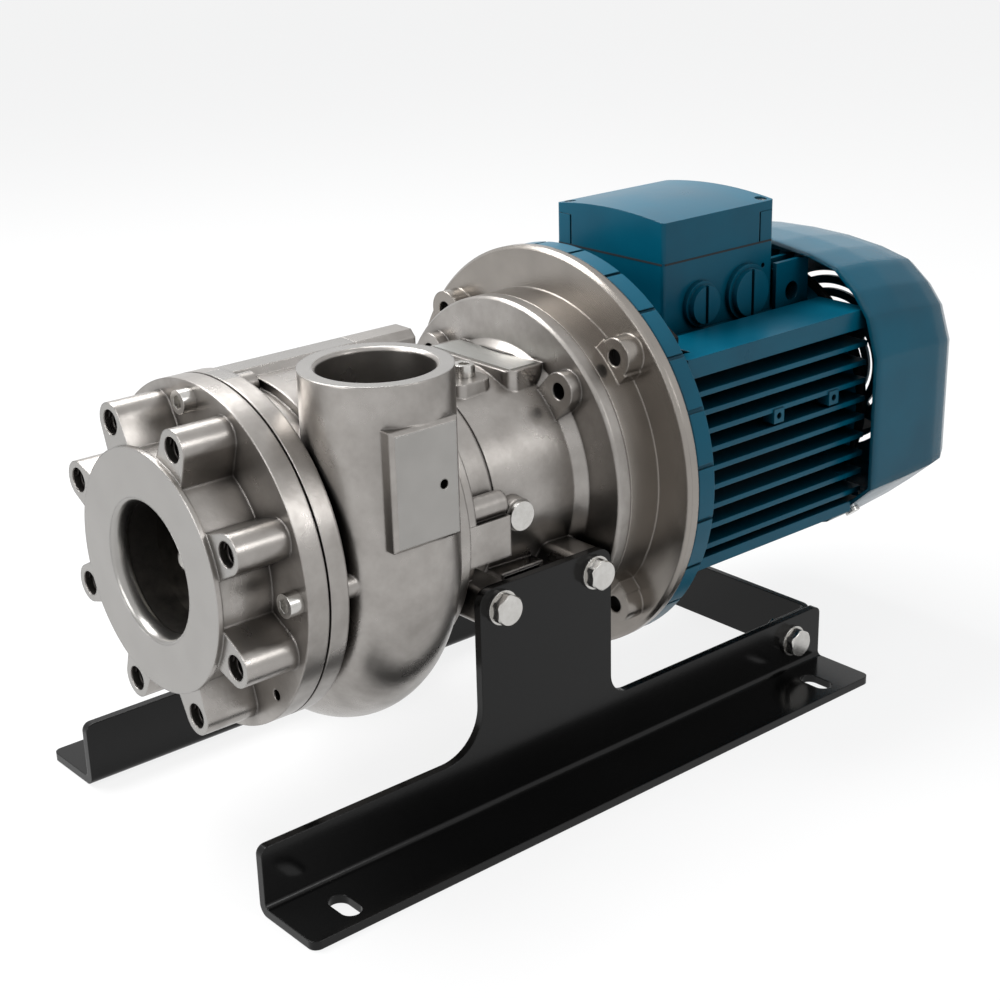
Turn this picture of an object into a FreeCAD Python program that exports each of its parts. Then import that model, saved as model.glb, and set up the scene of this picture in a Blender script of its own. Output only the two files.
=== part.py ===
import FreeCAD, Part
import math
import os

# Screw centrifugal pump with a flanged motor on two bent rails.
# X runs along the shaft, from the suction mouth to the fan end, -Y is the discharge side, +Z is up.
# The origin is the centre of the four foundation slots on the floor plane.
# Angles round the shaft are counted from straight up towards the discharge side.

# General fits
running_clearance = 0.05
screw_clearance = 0.4
thread_clearance = 0.05

# Shaft line
shaft_height = 164.0

# Suction cover
suction_face_x = -215.0
raised_face_radius = 67.0
raised_face_height = 3.0
cover_body_radius = 64.5
cover_body_length = 34.0
cover_flange_radius = 96.0
cover_flange_thickness = 14.0
cover_edge_chamfer = 1.5
suction_bore_radius = 40.0
suction_bore_length = 10.0
suction_bolt_circle_radius = 80.0
suction_bolt_count = 8
suction_boss_radius = 10.8
suction_lug_root_width = 26.0
suction_lug_root_radius = 56.0
suction_hole_radius = 7.0
suction_hole_depth = 26.0
cover_screw_circle_radius = 86.5
cover_screw_count = 4
jack_hole_radius = 3.0
jack_hole_angle = 135.0

# Cover screws, M8 socket head
cover_screw_radius = 4.0
cover_screw_head_radius = 6.5
cover_screw_head_height = 8.0
cover_screw_length = 30.0
cover_screw_socket_radius = 3.4
cover_screw_socket_depth = 4.0

# Wear liner that the screw vane runs in
liner_throat_radius = 36.5
liner_throat_length = 17.0
liner_cone_length = 48.0
liner_outlet_radius = 58.0
liner_wall = 6.0
liner_nose_radius = 45.0
liner_flange_radius = 70.0
liner_flange_thickness = 5.0
seat_clearance = 0.2

# Sealing rings
cover_ring_radius = 61.5
casing_ring_radius = 77.0
ring_section_radius = 1.6
ring_groove_play = 0.5

# Volute casing
casing_flange_thickness = 11.0
casing_drum_radius = 89.0
casing_recess_radius = 84.0
casing_recess_length = 27.0
casing_chamber_radius = 62.0
casing_liner_bore_radius = 66.0
casing_length = 97.0
chamber_end_length = 75.0
chamber_start_length = 27.0
scroll_plane_offset = 53.0
scroll_centre_radius = 71.0
scroll_bottom_swell = 6.0
scroll_start_angle = 12.0
scroll_start_radius = 17.0
scroll_start_channel_radius = 10.0
scroll_growth_power = 0.8
scroll_section_count = 11
nozzle_radius = 40.3
nozzle_bore_radius = 31.0
nozzle_bore_length = 21.5
nozzle_channel_radius = 30.0
nozzle_height = 106.0
nozzle_edge_chamfer = 1.5
gauge_pad_width = 43.0
gauge_pad_height = 64.0
gauge_pad_bottom = 20.0
gauge_pad_offset = -2.0
gauge_pad_proud = 1.5
gauge_pad_depth = 22.0
gauge_pad_chamfer = 2.0
gauge_hole_radius = 2.6
gauge_hole_depth = 6.0
gauge_hole_side = 10.5
gauge_hole_height = 30.0
tie_rib_radius = 7.0
tie_rib_length = 24.0

# Top rib of the casing, carried on by a block on the seal housing
top_rib_near_y = 3.0
top_rib_width = 22.0
top_rib_top = 93.0
top_rib_chamfer = 4.0
top_rib_sink = 16.0

# Seal housing behind the casing
neck_radius = 66.0
neck_rear_radius = neck_radius + 3.0
housing_spigot_length = 22.0
housing_screw_circle_radius = neck_radius + 9.0
housing_spigot_radius = housing_screw_circle_radius - 5.0
housing_flange_radius = housing_screw_circle_radius + 4.5
housing_flange_thickness = 12.0
housing_neck_length = 24.0
housing_screw_angles = (30.0, 150.0, 210.0, 330.0)
housing_screw_radius = 2.5
housing_screw_head_radius = 4.25
housing_screw_head_height = 6.0
housing_screw_length = 26.0
seal_chamber_radius = 31.0
seal_chamber_length = 36.0
housing_throat_radius = 22.0
housing_throat_length = 6.0
seal_seat_bore_radius = 24.0
seam_groove_width = 1.2
seam_groove_depth = 1.0

# Near side tie lug on the seal housing
side_lug_face_y = 80.0
side_lug_bottom = -19.5
side_lug_top = 4.5
side_lug_rib_radius = 7.0
side_lug_rib_height = 10.0
side_lug_rib_side = 71.0

# Shaft seal
seal_face_outer_radius = 23.0
seal_face_thickness = 7.0
seal_seat_outer_radius = 24.0
seal_seat_thickness = 9.0
seal_body_radius = 21.0
seal_body_length = 15.0
seal_spring_radius = 17.5
seal_spring_wire_radius = 1.2
seal_spring_coils = 3

# Bracket between the seal housing and the motor
bracket_length = 64.0
bracket_disc_radius = 100.0
bracket_disc_thickness = 9.0
bracket_inner_radius = 56.0
bracket_flare_length = 6.0
bracket_flare_radius = 75.0
bracket_edge_chamfer = 1.5
inner_lug_circle_radius = 82.5
inner_lug_radius = 11.0
inner_lug_height = 8.0
inner_lug_count = 4
adapter_screw_radius = 5.0
adapter_screw_head_radius = 8.0
adapter_screw_head_height = 10.0
adapter_screw_length = 30.0
window_length = 27.0
window_height = 8.0
window_x_offset = 18.0
window_drop = 41.5
window_frame_width = 2.0
window_frame_reach = 68.0
name_pad_length = 27.0
name_pad_half_width = 38.0
name_pad_top = neck_radius + 3.0
name_pad_depth = 33.0
name_pad_corner = 7.0
name_plate_inset = 3.5
name_plate_thickness = 1.0
port_boss_x_offset = 4.0
port_boss_length = 27.0
port_boss_near_y = -32.0
port_boss_far_y = -3.0
port_boss_corner = 7.0
port_boss_top = neck_radius + 0.5
port_boss_depth = 16.5
port_plug_x_offset = 21.5
port_plug_y = -17.0
port_plug_radius = 6.3
port_plug_height = 7.0
port_plug_depth = 8.0
port_plug_thread_radius = 5.0
port_plug_socket_radius = 3.0
port_plug_socket_depth = 3.0
side_port_x_offset = 10.5
side_port_height = 0.5
side_port_boss_radius = 9.5
side_port_boss_y = 75.0
side_port_plug_radius = 8.5
side_port_plug_height = 3.0
side_port_thread_radius = 6.5
side_port_thread_depth = 9.0

# Adapter ring that carries the larger motor flange
adapter_body_length = 22.0
adapter_flange_radius = 125.0
adapter_flange_thickness = 7.0
adapter_bore_radius = 60.0
adapter_spigot_length = 4.0
adapter_edge_chamfer = 2.0
motor_bolt_circle_radius = 107.5
motor_bolt_count = 4
outer_lug_half_width = 13.0
outer_lug_radius = 11.5
outer_lug_length = 12.0
motor_screw_radius = 6.0
motor_screw_tapping_radius = 5.1
motor_screw_head_flats = 18.0
motor_screw_head_height = 7.5

# Motor drive end shield
motor_flange_radius = 124.0
motor_flange_thickness = 16.0
motor_flange_chamfer = 2.0
motor_spigot_radius = 90.0
motor_spigot_height = 3.5
rim_notch_count = 24
rim_notch_width = 2.4
rim_notch_depth = 1.6
shield_web_thickness = 10.0
shield_hub_wall = 9.0

# Motor frame
frame_length = 162.0
frame_inner_radius = 76.0
frame_outer_radius = 82.0
fin_half_width = 100.0
fin_pitch = 12.1
fin_thickness = 3.2
side_fin_count = 9
side_fin_lowest = -49.0
corner_bar_bottom = 60.0
corner_bar_top = 72.0
corner_bar_inner_y = 60.0
low_bar_top = -54.0
low_bar_bottom = -61.0
top_fin_half_count = 4
top_fin_height = 97.0
bottom_fin_height = 88.0
frame_end_ring_length = 8.0
frame_end_ring_radius = 88.0
screw_pad_size = 9.0
screw_pad_first_x = 79.0
screw_pad_spacing = 51.0
screw_pad_height = 21.0
screw_pad_hole_radius = 2.0
lifting_lug_length = 24.0
lifting_lug_bottom = 60.0
lifting_lug_top = 92.0
lifting_lug_thickness = 7.0
lifting_lug_hole_radius = 6.0
lifting_lug_gap = 3.0

# Stator, rotor and windings
core_length = 80.0
core_start = 34.0
rotor_radius = 45.0
air_gap = 0.5
winding_inner_radius = 50.0
winding_outer_radius = 72.0
winding_overhang = 17.0
rotor_ring_length = 6.0
rotor_ring_radius = 43.0

# Bearings
drive_bearing_bore_radius = 17.5
drive_bearing_outer_radius = 36.0
drive_bearing_width = 17.0
fan_bearing_bore_radius = 15.0
fan_bearing_outer_radius = 31.0
fan_bearing_width = 16.0
drive_bearing_inset = 8.0
bearing_ball_count = 8
bearing_race_share = 0.24
bearing_ball_share = 0.30
cage_half_thickness = 1.2
cage_half_width = 3.4

# Shaft
impeller_seat_radius = 11.0
seal_seat_shaft_radius = 14.0
rotor_seat_radius = 22.0
fan_seat_radius = 12.0
impeller_seat_length = 50.0
impeller_key_width = 6.0
impeller_key_height = 6.0
impeller_key_length = 28.0
lip_seal_width = 7.0
lip_seal_radius = 26.0

# Rear shield, fan and cowl
rear_shield_thickness = 10.0
rear_shield_radius = 85.5
fan_hub_radius = 20.0
fan_hub_length = 24.0
fan_disc_radius = 84.0
fan_disc_thickness = 3.0
fan_blade_count = 7
fan_blade_thickness = 2.5
fan_blade_height = 18.0
fan_gap = 9.0
cowl_overlap = 9.0
cowl_half_width = 115.0
cowl_corners = ((0.0, 105.5), (30.0, 104.5), (58.0, 101.0), (80.0, 95.5), (96.0, 82.5), (107.0, 68.5),
                (115.0, 43.5), (115.0, -43.0), (98.0, -59.0), (81.0, -74.0), (45.0, -86.0), (0.0, -91.0))
cowl_stations = ((33.0, 1.0, 0.985), (63.0, 1.0, 0.945), (74.0, 0.985, 0.925), (85.0, 0.93, 0.87),
                 (94.0, 0.84, 0.79), (101.0, 0.72, 0.70))
cowl_wall = 2.5
grille_ring_count = 6
grille_slot_width = 3.4
grille_pitch = 9.0
grille_first_radius = 14.0
grille_spoke_half_angle = 9.0
cowl_screw_radius = 2.5
cowl_screw_head_radius = 5.0
cowl_screw_head_height = 2.5
cowl_screw_length = 12.0
cowl_screw_seat_gap = 0.2
cowl_trim_gap = 0.4
cowl_lug_width = 16.0

# Terminal box
box_front_offset = 34.0
box_length = 97.5
box_half_width = 46.5
box_lid_split = 112.0
box_side_top = 137.0
box_crest_top = 140.5
box_wall = 3.5
box_floor = 90.0
box_corner_radius = 2.5
lid_gap = 1.2
lid_post_width = 12.0
lid_ear_thickness = 6.0
lid_screw_radius = 2.0
lid_screw_head_radius = 3.4
lid_screw_head_height = 2.6
lid_screw_inset = 6.0
lid_screw_length = 16.0
box_side_hole_radius = 1.6
box_side_hole_depth = 3.0
box_side_hole_inset = 9.0
box_side_hole_height = 97.0
gland_height = 83.5
small_gland_x = 31.0
small_gland_radius = 14.0
large_gland_x = 72.0
large_gland_radius = 17.5
gland_head_thickness = 4.0
gland_collar_thickness = 3.0
gland_thread_share = 0.72
gland_slot_width = 2.6
gland_slot_depth = 2.0
terminal_board_length = 56.0
terminal_board_width = 40.0
terminal_board_thickness = 8.0
terminal_stud_radius = 2.5
terminal_stud_height = 12.0
terminal_stud_pitch = 18.0
terminal_row_pitch = 22.0

# Base rails
rail_half_length = 218.0
rail_inner_y = 88.5
rail_thickness = 5.0
rail_leg_height = 40.0
rail_foot_y = 136.5
rail_bend_radius = 6.0
rail_corner_radius = 5.0
slot_x = 186.0
slot_y = 119.0
slot_length = 22.0
slot_width = 12.0
side_plate_front_x = -69.0
side_plate_rear_x = 29.0
side_plate_top = shaft_height - 27.5
side_plate_corner_radius = 9.0
side_plate_front_fillet = 27.0
side_plate_rear_fillet = 14.0
plate_bolt_drop = 40.0
plate_bolt_spacing = 70.0
plate_bolt_first_x = -54.0
plate_boss_half_width = 11.0
plate_boss_corner = 4.0
plate_boss_reach = 52.0

# Cross member at the fan end
cross_thickness = 4.0
cross_height = 38.0
cross_floor_gap = 1.0
cross_tab_length = 50.0
cross_tab_corner = 16.0
cross_bend_radius = 9.0
cross_bolt_x = 191.0
cross_bolt_height = 24.0

# M10 hexagon bolts, washers and nuts of the base
bolt_radius = 5.0
bolt_flats = 17.0
bolt_head_height = 6.4
bolt_washer_radius = 10.0
bolt_washer_thickness = 2.0
plate_bolt_length = 28.0
nut_height = 8.0

# Impeller
impeller_front_x = -188.0
impeller_tip_gap = 0.8
impeller_back_gap = 1.5
impeller_disc_thickness = 5.0
impeller_outlet_radius = 57.0
impeller_nose_radius = 8.5
impeller_hub_rear_radius = 40.0
vane_turns = 1.45
vane_section_count = 19
vane_thickness = 5.5
vane_root_sink = 3.0
impeller_screw_head_radius = 8.0
impeller_screw_head_length = 7.0
impeller_screw_radius = 5.0
impeller_screw_grip = 20.0

# Axial positions that follow from the lengths above
cover_flange_front_x = suction_face_x + cover_body_length
cover_rear_x = cover_flange_front_x + cover_flange_thickness
liner_front_x = suction_face_x + suction_bore_length
liner_cone_start_x = liner_front_x + liner_throat_length
liner_cone_end_x = liner_cone_start_x + liner_cone_length
casing_rear_x = cover_rear_x + casing_length
scroll_plane_x = cover_rear_x + scroll_plane_offset
chamber_start_x = cover_rear_x + chamber_start_length
chamber_end_x = cover_rear_x + chamber_end_length
housing_front_x = casing_rear_x - housing_spigot_length
housing_neck_x = casing_rear_x + housing_flange_thickness
bracket_front_x = housing_neck_x + housing_neck_length
bracket_disc_x = bracket_front_x + bracket_length
adapter_front_x = bracket_disc_x + bracket_disc_thickness
adapter_flange_x = adapter_front_x + adapter_body_length
motor_face_x = adapter_flange_x + adapter_flange_thickness
frame_front_x = motor_face_x + motor_flange_thickness
frame_rear_x = frame_front_x + frame_length
core_front_x = frame_front_x + core_start
core_rear_x = core_front_x + core_length
drive_bearing_x = motor_face_x + drive_bearing_inset
rear_shield_end_x = frame_rear_x + rear_shield_thickness
fan_bearing_x = rear_shield_end_x - 4.0 - fan_bearing_width
fan_front_x = rear_shield_end_x + fan_gap
cowl_front_x = frame_rear_x - cowl_overlap
cowl_rear_x = cowl_front_x + cowl_stations[-1][0]
box_front_x = frame_front_x + box_front_offset
box_rear_x = box_front_x + box_length
cowl_screw_x = frame_rear_x + rear_shield_thickness / 2
impeller_rear_x = housing_front_x - impeller_back_gap
nozzle_y = -scroll_centre_radius
neck_groove_x = bracket_front_x

X_AXIS = FreeCAD.Vector(1, 0, 0)
Y_AXIS = FreeCAD.Vector(0, 1, 0)
Z_AXIS = FreeCAD.Vector(0, 0, 1)
SHAFT_POINT = FreeCAD.Vector(0, 0, shaft_height)


def point(x, y, z):
    """A point whose height is counted from the shaft line."""
    return FreeCAD.Vector(x, y, shaft_height + z)


def around(radius, degrees):
    """Side and height of a point round the shaft, from straight up towards the discharge side."""
    angle = math.radians(degrees)
    return -radius * math.sin(angle), radius * math.cos(angle)


def rod(x, length, radius, y=0.0, z=0.0):
    """A round bar along the shaft direction."""
    return Part.makeCylinder(radius, length, point(x, y, z), X_AXIS)


def side_rod(x, y, z, length, radius, outward):
    """A round bar across the shaft; outward is +1 for the far side and -1 for the discharge side."""
    return Part.makeCylinder(radius, length, point(x, y, z), Y_AXIS * outward)


def ring(x, length, outer_radius, inner_radius):
    return rod(x, length, outer_radius).cut(rod(x, length, inner_radius))


def block(x0, x1, y0, y1, z0, z1):
    """A box with heights counted from the shaft line."""
    return Part.makeBox(x1 - x0, y1 - y0, z1 - z0, point(x0, y0, z0))


def turned(profile):
    """A solid turned about the shaft line from a closed outline of (x, radius) corners."""
    corners = [point(x, 0, radius) for x, radius in profile]
    outline = Part.makePolygon(corners + corners[:1])
    return Part.Face(outline).revolve(SHAFT_POINT, X_AXIS, 360)


def joined(first, *others):
    pieces = []
    for other in others:
        pieces.extend(other if isinstance(other, list) else [other])
    return first.fuse(pieces).removeSplitter()


def less(body, *tools):
    cutters = []
    for tool in tools:
        cutters.extend(tool if isinstance(tool, list) else [tool])
    return body.cut(cutters)


def turned_by(shape, degrees):
    """A copy turned about the shaft line, from straight up towards the discharge side."""
    copy = shape.copy()
    copy.rotate(SHAFT_POINT, X_AXIS, degrees)
    return copy


def mirrored(shape):
    """The same piece on the other side of the shaft."""
    return shape.mirror(FreeCAD.Vector(0, 0, 0), Y_AXIS)


def hexagon(centre, flats, length, direction):
    """A hexagonal bar from centre along direction."""
    corner_radius = flats / math.sqrt(3.0)
    side_axis = Z_AXIS if abs(direction.z) < 0.5 else X_AXIS
    other_axis = direction.cross(side_axis)
    corners = []
    for step in range(6):
        angle = math.radians(60 * step)
        corners.append(centre + side_axis * (corner_radius * math.cos(angle))
                       + other_axis * (corner_radius * math.sin(angle)))
    face = Part.Face(Part.makePolygon(corners + corners[:1]))
    return face.extrude(direction * length)


def rounded_box(x0, x1, y0, y1, z0, z1, radius):
    """A box whose upright corners are rounded."""
    box = block(x0, x1, y0, y1, z0, z1)
    upright = [edge for edge in box.Edges if abs(edge.tangentAt(edge.FirstParameter).z) > 0.99]
    return box.makeFillet(radius, upright)


def torus(x, radius, section_radius):
    return Part.makeTorus(radius, section_radius, point(x, 0, 0), X_AXIS)


def liner_radius(x):
    """Inside radius of the wear liner at x."""
    if x < liner_cone_start_x:
        return liner_throat_radius
    share = min((x - liner_cone_start_x) / liner_cone_length, 1.0)
    return liner_throat_radius + share * (liner_outlet_radius - liner_throat_radius)


def liner_outer_radius(x):
    return max(liner_radius(x) + liner_wall, liner_nose_radius)


def liner_nose_end_x():
    """Where the straight nose of the liner meets its cone outside."""
    slope = (liner_outlet_radius - liner_throat_radius) / liner_cone_length
    return liner_cone_start_x + (liner_nose_radius - liner_wall - liner_throat_radius) / slope


def cover_screw_angles():
    return [index * 360.0 / cover_screw_count for index in range(cover_screw_count)]


def quarter_angles(count):
    """Angles of a pattern that straddles the centre lines."""
    return [(index + 0.5) * 360.0 / count for index in range(count)]


# Suction cover with its raised face, tapped bosses and rear flange
def suction_cover():
    body = joined(rod(suction_face_x, raised_face_height, raised_face_radius),
                  rod(suction_face_x + raised_face_height, cover_body_length - raised_face_height,
                      cover_body_radius))
    flange = rod(cover_flange_front_x, cover_flange_thickness, cover_flange_radius)
    rim_edges = [edge for edge in flange.Edges if edge.Length > 1.0 and len(edge.Vertexes) == 1]
    flange = flange.makeChamfer(cover_edge_chamfer, rim_edges[:1])
    boss_x = suction_face_x + raised_face_height
    boss_length = cover_body_length - raised_face_height
    lugs = []
    holes = []
    for angle in quarter_angles(suction_bolt_count):
        corners = [point(boss_x, -suction_lug_root_width / 2, suction_lug_root_radius),
                   point(boss_x, suction_lug_root_width / 2, suction_lug_root_radius),
                   point(boss_x, suction_boss_radius, suction_bolt_circle_radius),
                   point(boss_x, -suction_boss_radius, suction_bolt_circle_radius)]
        web = Part.Face(Part.makePolygon(corners + corners[:1])).extrude(X_AXIS * boss_length)
        boss = rod(boss_x, boss_length, suction_boss_radius, 0, suction_bolt_circle_radius)
        hole = rod(boss_x, suction_hole_depth, suction_hole_radius, 0, suction_bolt_circle_radius)
        lugs.extend([turned_by(web, angle), turned_by(boss, angle)])
        holes.append(turned_by(hole, angle))
    cavity = turned([(liner_front_x, 0), (liner_front_x, liner_nose_radius + seat_clearance),
                     (liner_nose_end_x(), liner_nose_radius + seat_clearance),
                     (cover_rear_x, liner_outer_radius(cover_rear_x) + seat_clearance),
                     (cover_rear_x, 0)])
    mouth = rod(suction_face_x, suction_bore_length, suction_bore_radius)
    groove = ring_groove(cover_rear_x - 2 * ring_section_radius, cover_ring_radius)
    screw_holes = []
    for angle in cover_screw_angles():
        y, z = around(cover_screw_circle_radius, angle)
        screw_holes.append(rod(cover_flange_front_x, cover_flange_thickness,
                               cover_screw_radius + screw_clearance, y, z))
    y, z = around(cover_screw_circle_radius, jack_hole_angle)
    screw_holes.append(rod(cover_flange_front_x, cover_flange_thickness, jack_hole_radius, y, z))
    return less(joined(body, flange, lugs), holes, cavity, mouth, groove, screw_holes)


def ring_groove(x, radius):
    width = ring_section_radius + ring_groove_play
    return ring(x, 2 * ring_section_radius, radius + width, radius - width)


# Wear liner clamped between the cover and the casing
def wear_liner():
    flange_end_x = cover_rear_x + liner_flange_thickness
    return turned([(liner_front_x, liner_throat_radius), (liner_front_x, liner_nose_radius),
                   (liner_nose_end_x(), liner_nose_radius),
                   (cover_rear_x, liner_outer_radius(cover_rear_x)),
                   (cover_rear_x, liner_flange_radius), (flange_end_x, liner_flange_radius),
                   (flange_end_x, liner_outer_radius(flange_end_x)),
                   (liner_cone_end_x, liner_outer_radius(liner_cone_end_x)),
                   (liner_cone_end_x, liner_outlet_radius),
                   (liner_cone_start_x, liner_throat_radius)])


def cover_screws():
    screws = []
    for angle in cover_screw_angles():
        y, z = around(cover_screw_circle_radius, angle)
        head = rod(cover_flange_front_x - cover_screw_head_height, cover_screw_head_height,
                   cover_screw_head_radius, y, z)
        shank = rod(cover_flange_front_x, cover_screw_length, cover_screw_radius, y, z)
        socket = hexagon(point(cover_flange_front_x - cover_screw_head_height, y, z),
                         2 * cover_screw_socket_radius, cover_screw_socket_depth, X_AXIS)
        screws.append(less(joined(head, shank), socket))
    return Part.makeCompound(screws)


# Scroll of the casing, drawn as round sections that grow from the tongue to the nozzle
def scroll_station(share):
    """Angle, centre radius of the scroll at a share of its run."""
    angle = scroll_start_angle + share * (270.0 - scroll_start_angle)
    swell = max(math.sin(math.radians(angle - 90.0)), 0.0) * scroll_bottom_swell
    return angle, scroll_centre_radius + swell


def scroll_solid(start_radius, end_radius):
    sections = []
    for index in range(scroll_section_count):
        share = index / (scroll_section_count - 1)
        angle, centre_radius = scroll_station(share)
        radius = start_radius + (end_radius - start_radius) * share ** scroll_growth_power
        y, z = around(centre_radius, -angle)
        tangent = FreeCAD.Vector(0, math.cos(math.radians(angle)), -math.sin(math.radians(angle)))
        circle = Part.makeCircle(radius, point(scroll_plane_x, y, z), tangent)
        sections.append(Part.Wire([circle]))
    return Part.makeLoft(sections, True, False)


def gauge_pad():
    centre_x = scroll_plane_x + gauge_pad_offset
    face_y = nozzle_y - nozzle_radius - gauge_pad_proud
    pad = block(centre_x - gauge_pad_width / 2, centre_x + gauge_pad_width / 2,
                face_y, face_y + gauge_pad_depth,
                gauge_pad_bottom, gauge_pad_bottom + gauge_pad_height)
    front_edges = [edge for edge in pad.Edges if abs(edge.CenterOfMass.y - face_y) < 0.01]
    return pad.makeChamfer(gauge_pad_chamfer, front_edges)


def top_rib(x0, x1, bottom):
    """The machined rib along the top, with its two long edges chamfered."""
    far_y = top_rib_near_y + top_rib_width
    corners = [point(x0, top_rib_near_y, bottom), point(x0, far_y, bottom),
               point(x0, far_y, top_rib_top - top_rib_chamfer),
               point(x0, far_y - top_rib_chamfer, top_rib_top),
               point(x0, top_rib_near_y + top_rib_chamfer, top_rib_top),
               point(x0, top_rib_near_y, top_rib_top - top_rib_chamfer)]
    return Part.Face(Part.makePolygon(corners + corners[:1])).extrude(X_AXIS * (x1 - x0))


def volute_casing():
    flange = rod(cover_rear_x, casing_flange_thickness, cover_flange_radius)
    recess_x = cover_rear_x + casing_recess_length
    drum = joined(rod(cover_rear_x + casing_flange_thickness,
                      casing_recess_length - casing_flange_thickness, casing_recess_radius),
                  rod(recess_x, casing_rear_x - recess_x, casing_drum_radius))
    nozzle = Part.makeCylinder(nozzle_radius, nozzle_height, point(scroll_plane_x, nozzle_y, 0), Z_AXIS)
    ribs = []
    screw_holes = []
    for angle in cover_screw_angles():
        y, z = around(cover_screw_circle_radius, angle)
        rib = rod(cover_rear_x, tie_rib_length, tie_rib_radius, y, z)
        ribs.append(rib)
        screw_holes.append(rod(cover_rear_x, cover_screw_length - cover_flange_thickness + 3.0,
                               cover_screw_radius + thread_clearance, y, z))
    rib = top_rib(cover_rear_x + casing_flange_thickness, casing_rear_x, casing_drum_radius - 20.0)
    outer = joined(flange, drum, scroll_solid(scroll_start_radius, nozzle_radius), nozzle,
                   gauge_pad(), ribs, rib)
    channel = scroll_solid(scroll_start_channel_radius, nozzle_channel_radius)
    nozzle_channel = Part.makeCylinder(nozzle_channel_radius, nozzle_height,
                                       point(scroll_plane_x, nozzle_y, 0), Z_AXIS)
    nozzle_bore = Part.makeCylinder(nozzle_bore_radius, nozzle_bore_length,
                                    point(scroll_plane_x, nozzle_y, nozzle_height - nozzle_bore_length),
                                    Z_AXIS)
    mouth_chamfer = Part.makeCone(nozzle_bore_radius, nozzle_bore_radius + nozzle_edge_chamfer,
                                  nozzle_edge_chamfer,
                                  point(scroll_plane_x, nozzle_y, nozzle_height - nozzle_edge_chamfer),
                                  Z_AXIS)
    bore = turned([(cover_rear_x, 0), (cover_rear_x, liner_flange_radius + seat_clearance),
                   (cover_rear_x + liner_flange_thickness, liner_flange_radius + seat_clearance),
                   (cover_rear_x + liner_flange_thickness, casing_liner_bore_radius),
                   (chamber_start_x, casing_liner_bore_radius),
                   (chamber_start_x, casing_chamber_radius), (chamber_end_x, casing_chamber_radius),
                   (chamber_end_x, housing_spigot_radius + seat_clearance),
                   (casing_rear_x, housing_spigot_radius + seat_clearance), (casing_rear_x, 0)])
    groove = ring_groove(cover_rear_x, casing_ring_radius)
    gauge_hole = side_rod(scroll_plane_x + gauge_pad_offset + gauge_hole_side,
                          nozzle_y - nozzle_radius - gauge_pad_proud,
                          gauge_pad_bottom + gauge_hole_height, gauge_hole_depth, gauge_hole_radius, 1)
    rear_holes = []
    for angle in housing_screw_angles:
        y, z = around(housing_screw_circle_radius, angle)
        rear_holes.append(rod(casing_rear_x - housing_screw_length + housing_flange_thickness - 2.0,
                              housing_screw_length - housing_flange_thickness + 2.0,
                              housing_screw_radius + thread_clearance, y, z))
    return less(outer, channel, nozzle_channel, nozzle_bore, mouth_chamfer, bore, groove, gauge_hole,
                screw_holes, rear_holes)


# Seal housing: closes the casing and carries the stationary seal ring
def plate_bosses(x):
    """The two side bosses that take the plate bolts at x."""
    bosses = []
    for side in (-1, 1):
        near, far = sorted((side * plate_boss_reach, side * rail_inner_y))
        boss = block(x - plate_boss_half_width, x + plate_boss_half_width, near, far,
                     -plate_bolt_drop - plate_boss_half_width,
                     -plate_bolt_drop + plate_boss_half_width)
        along = [edge for edge in boss.Edges if abs(edge.tangentAt(edge.FirstParameter).y) > 0.99]
        bosses.append(boss.makeFillet(plate_boss_corner, along))
    return bosses


def plate_boss_holes(x):
    holes = []
    depth = plate_bolt_length - bolt_washer_thickness - rail_thickness + 1.0
    for side in (-1, 1):
        holes.append(side_rod(x, side * rail_inner_y, -plate_bolt_drop, depth,
                              bolt_radius + thread_clearance, -side))
    return holes


def seal_chamber_end_x():
    return housing_front_x + seal_chamber_length


def seal_housing():
    outer = turned([(housing_front_x, 0), (housing_front_x, housing_spigot_radius),
                    (casing_rear_x, housing_spigot_radius), (casing_rear_x, housing_flange_radius),
                    (housing_neck_x, housing_flange_radius), (housing_neck_x, neck_radius),
                    (bracket_front_x, neck_radius), (bracket_front_x, 0)])
    lug = block(casing_rear_x, bracket_front_x, -side_lug_face_y, -neck_radius + 10.0,
                side_lug_bottom, side_lug_top)
    lug_rib = rod(casing_rear_x, bracket_front_x - casing_rear_x, side_lug_rib_radius,
                  -side_lug_rib_side, side_lug_rib_height)
    rib = top_rib(housing_neck_x, bracket_front_x + 3.0, neck_radius - top_rib_sink)
    rib = less(rib, rod(bracket_front_x, 10.0, neck_radius + 2.0))
    rib_front = top_rib(casing_rear_x, housing_neck_x, housing_flange_radius - 10.0)
    outer = joined(outer, lug, lug_rib, rib, rib_front, plate_bosses(plate_bolt_first_x))
    inner_end_x = seal_chamber_end_x()
    hollow = turned([(housing_front_x, 0), (housing_front_x, seal_chamber_radius),
                     (inner_end_x, seal_chamber_radius), (inner_end_x, seal_seat_bore_radius),
                     (inner_end_x + seal_seat_thickness, seal_seat_bore_radius),
                     (inner_end_x + seal_seat_thickness, housing_throat_radius - 3.0),
                     (inner_end_x + seal_seat_thickness + housing_throat_length,
                      housing_throat_radius - 3.0),
                     (inner_end_x + seal_seat_thickness + housing_throat_length,
                      bracket_inner_radius), (bracket_front_x, bracket_inner_radius),
                     (bracket_front_x, 0)])
    screw_holes = []
    for angle in housing_screw_angles:
        y, z = around(housing_screw_circle_radius, angle)
        screw_holes.append(rod(casing_rear_x, housing_flange_thickness,
                               housing_screw_radius + screw_clearance, y, z))
    return less(outer, hollow, screw_holes, plate_boss_holes(plate_bolt_first_x))


def housing_screws():
    screws = []
    for angle in housing_screw_angles:
        y, z = around(housing_screw_circle_radius, angle)
        head = rod(housing_neck_x, housing_screw_head_height, housing_screw_head_radius, y, z)
        shank = rod(housing_neck_x - housing_screw_length, housing_screw_length,
                    housing_screw_radius, y, z)
        screws.append(joined(head, shank))
    return Part.makeCompound(screws)


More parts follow.
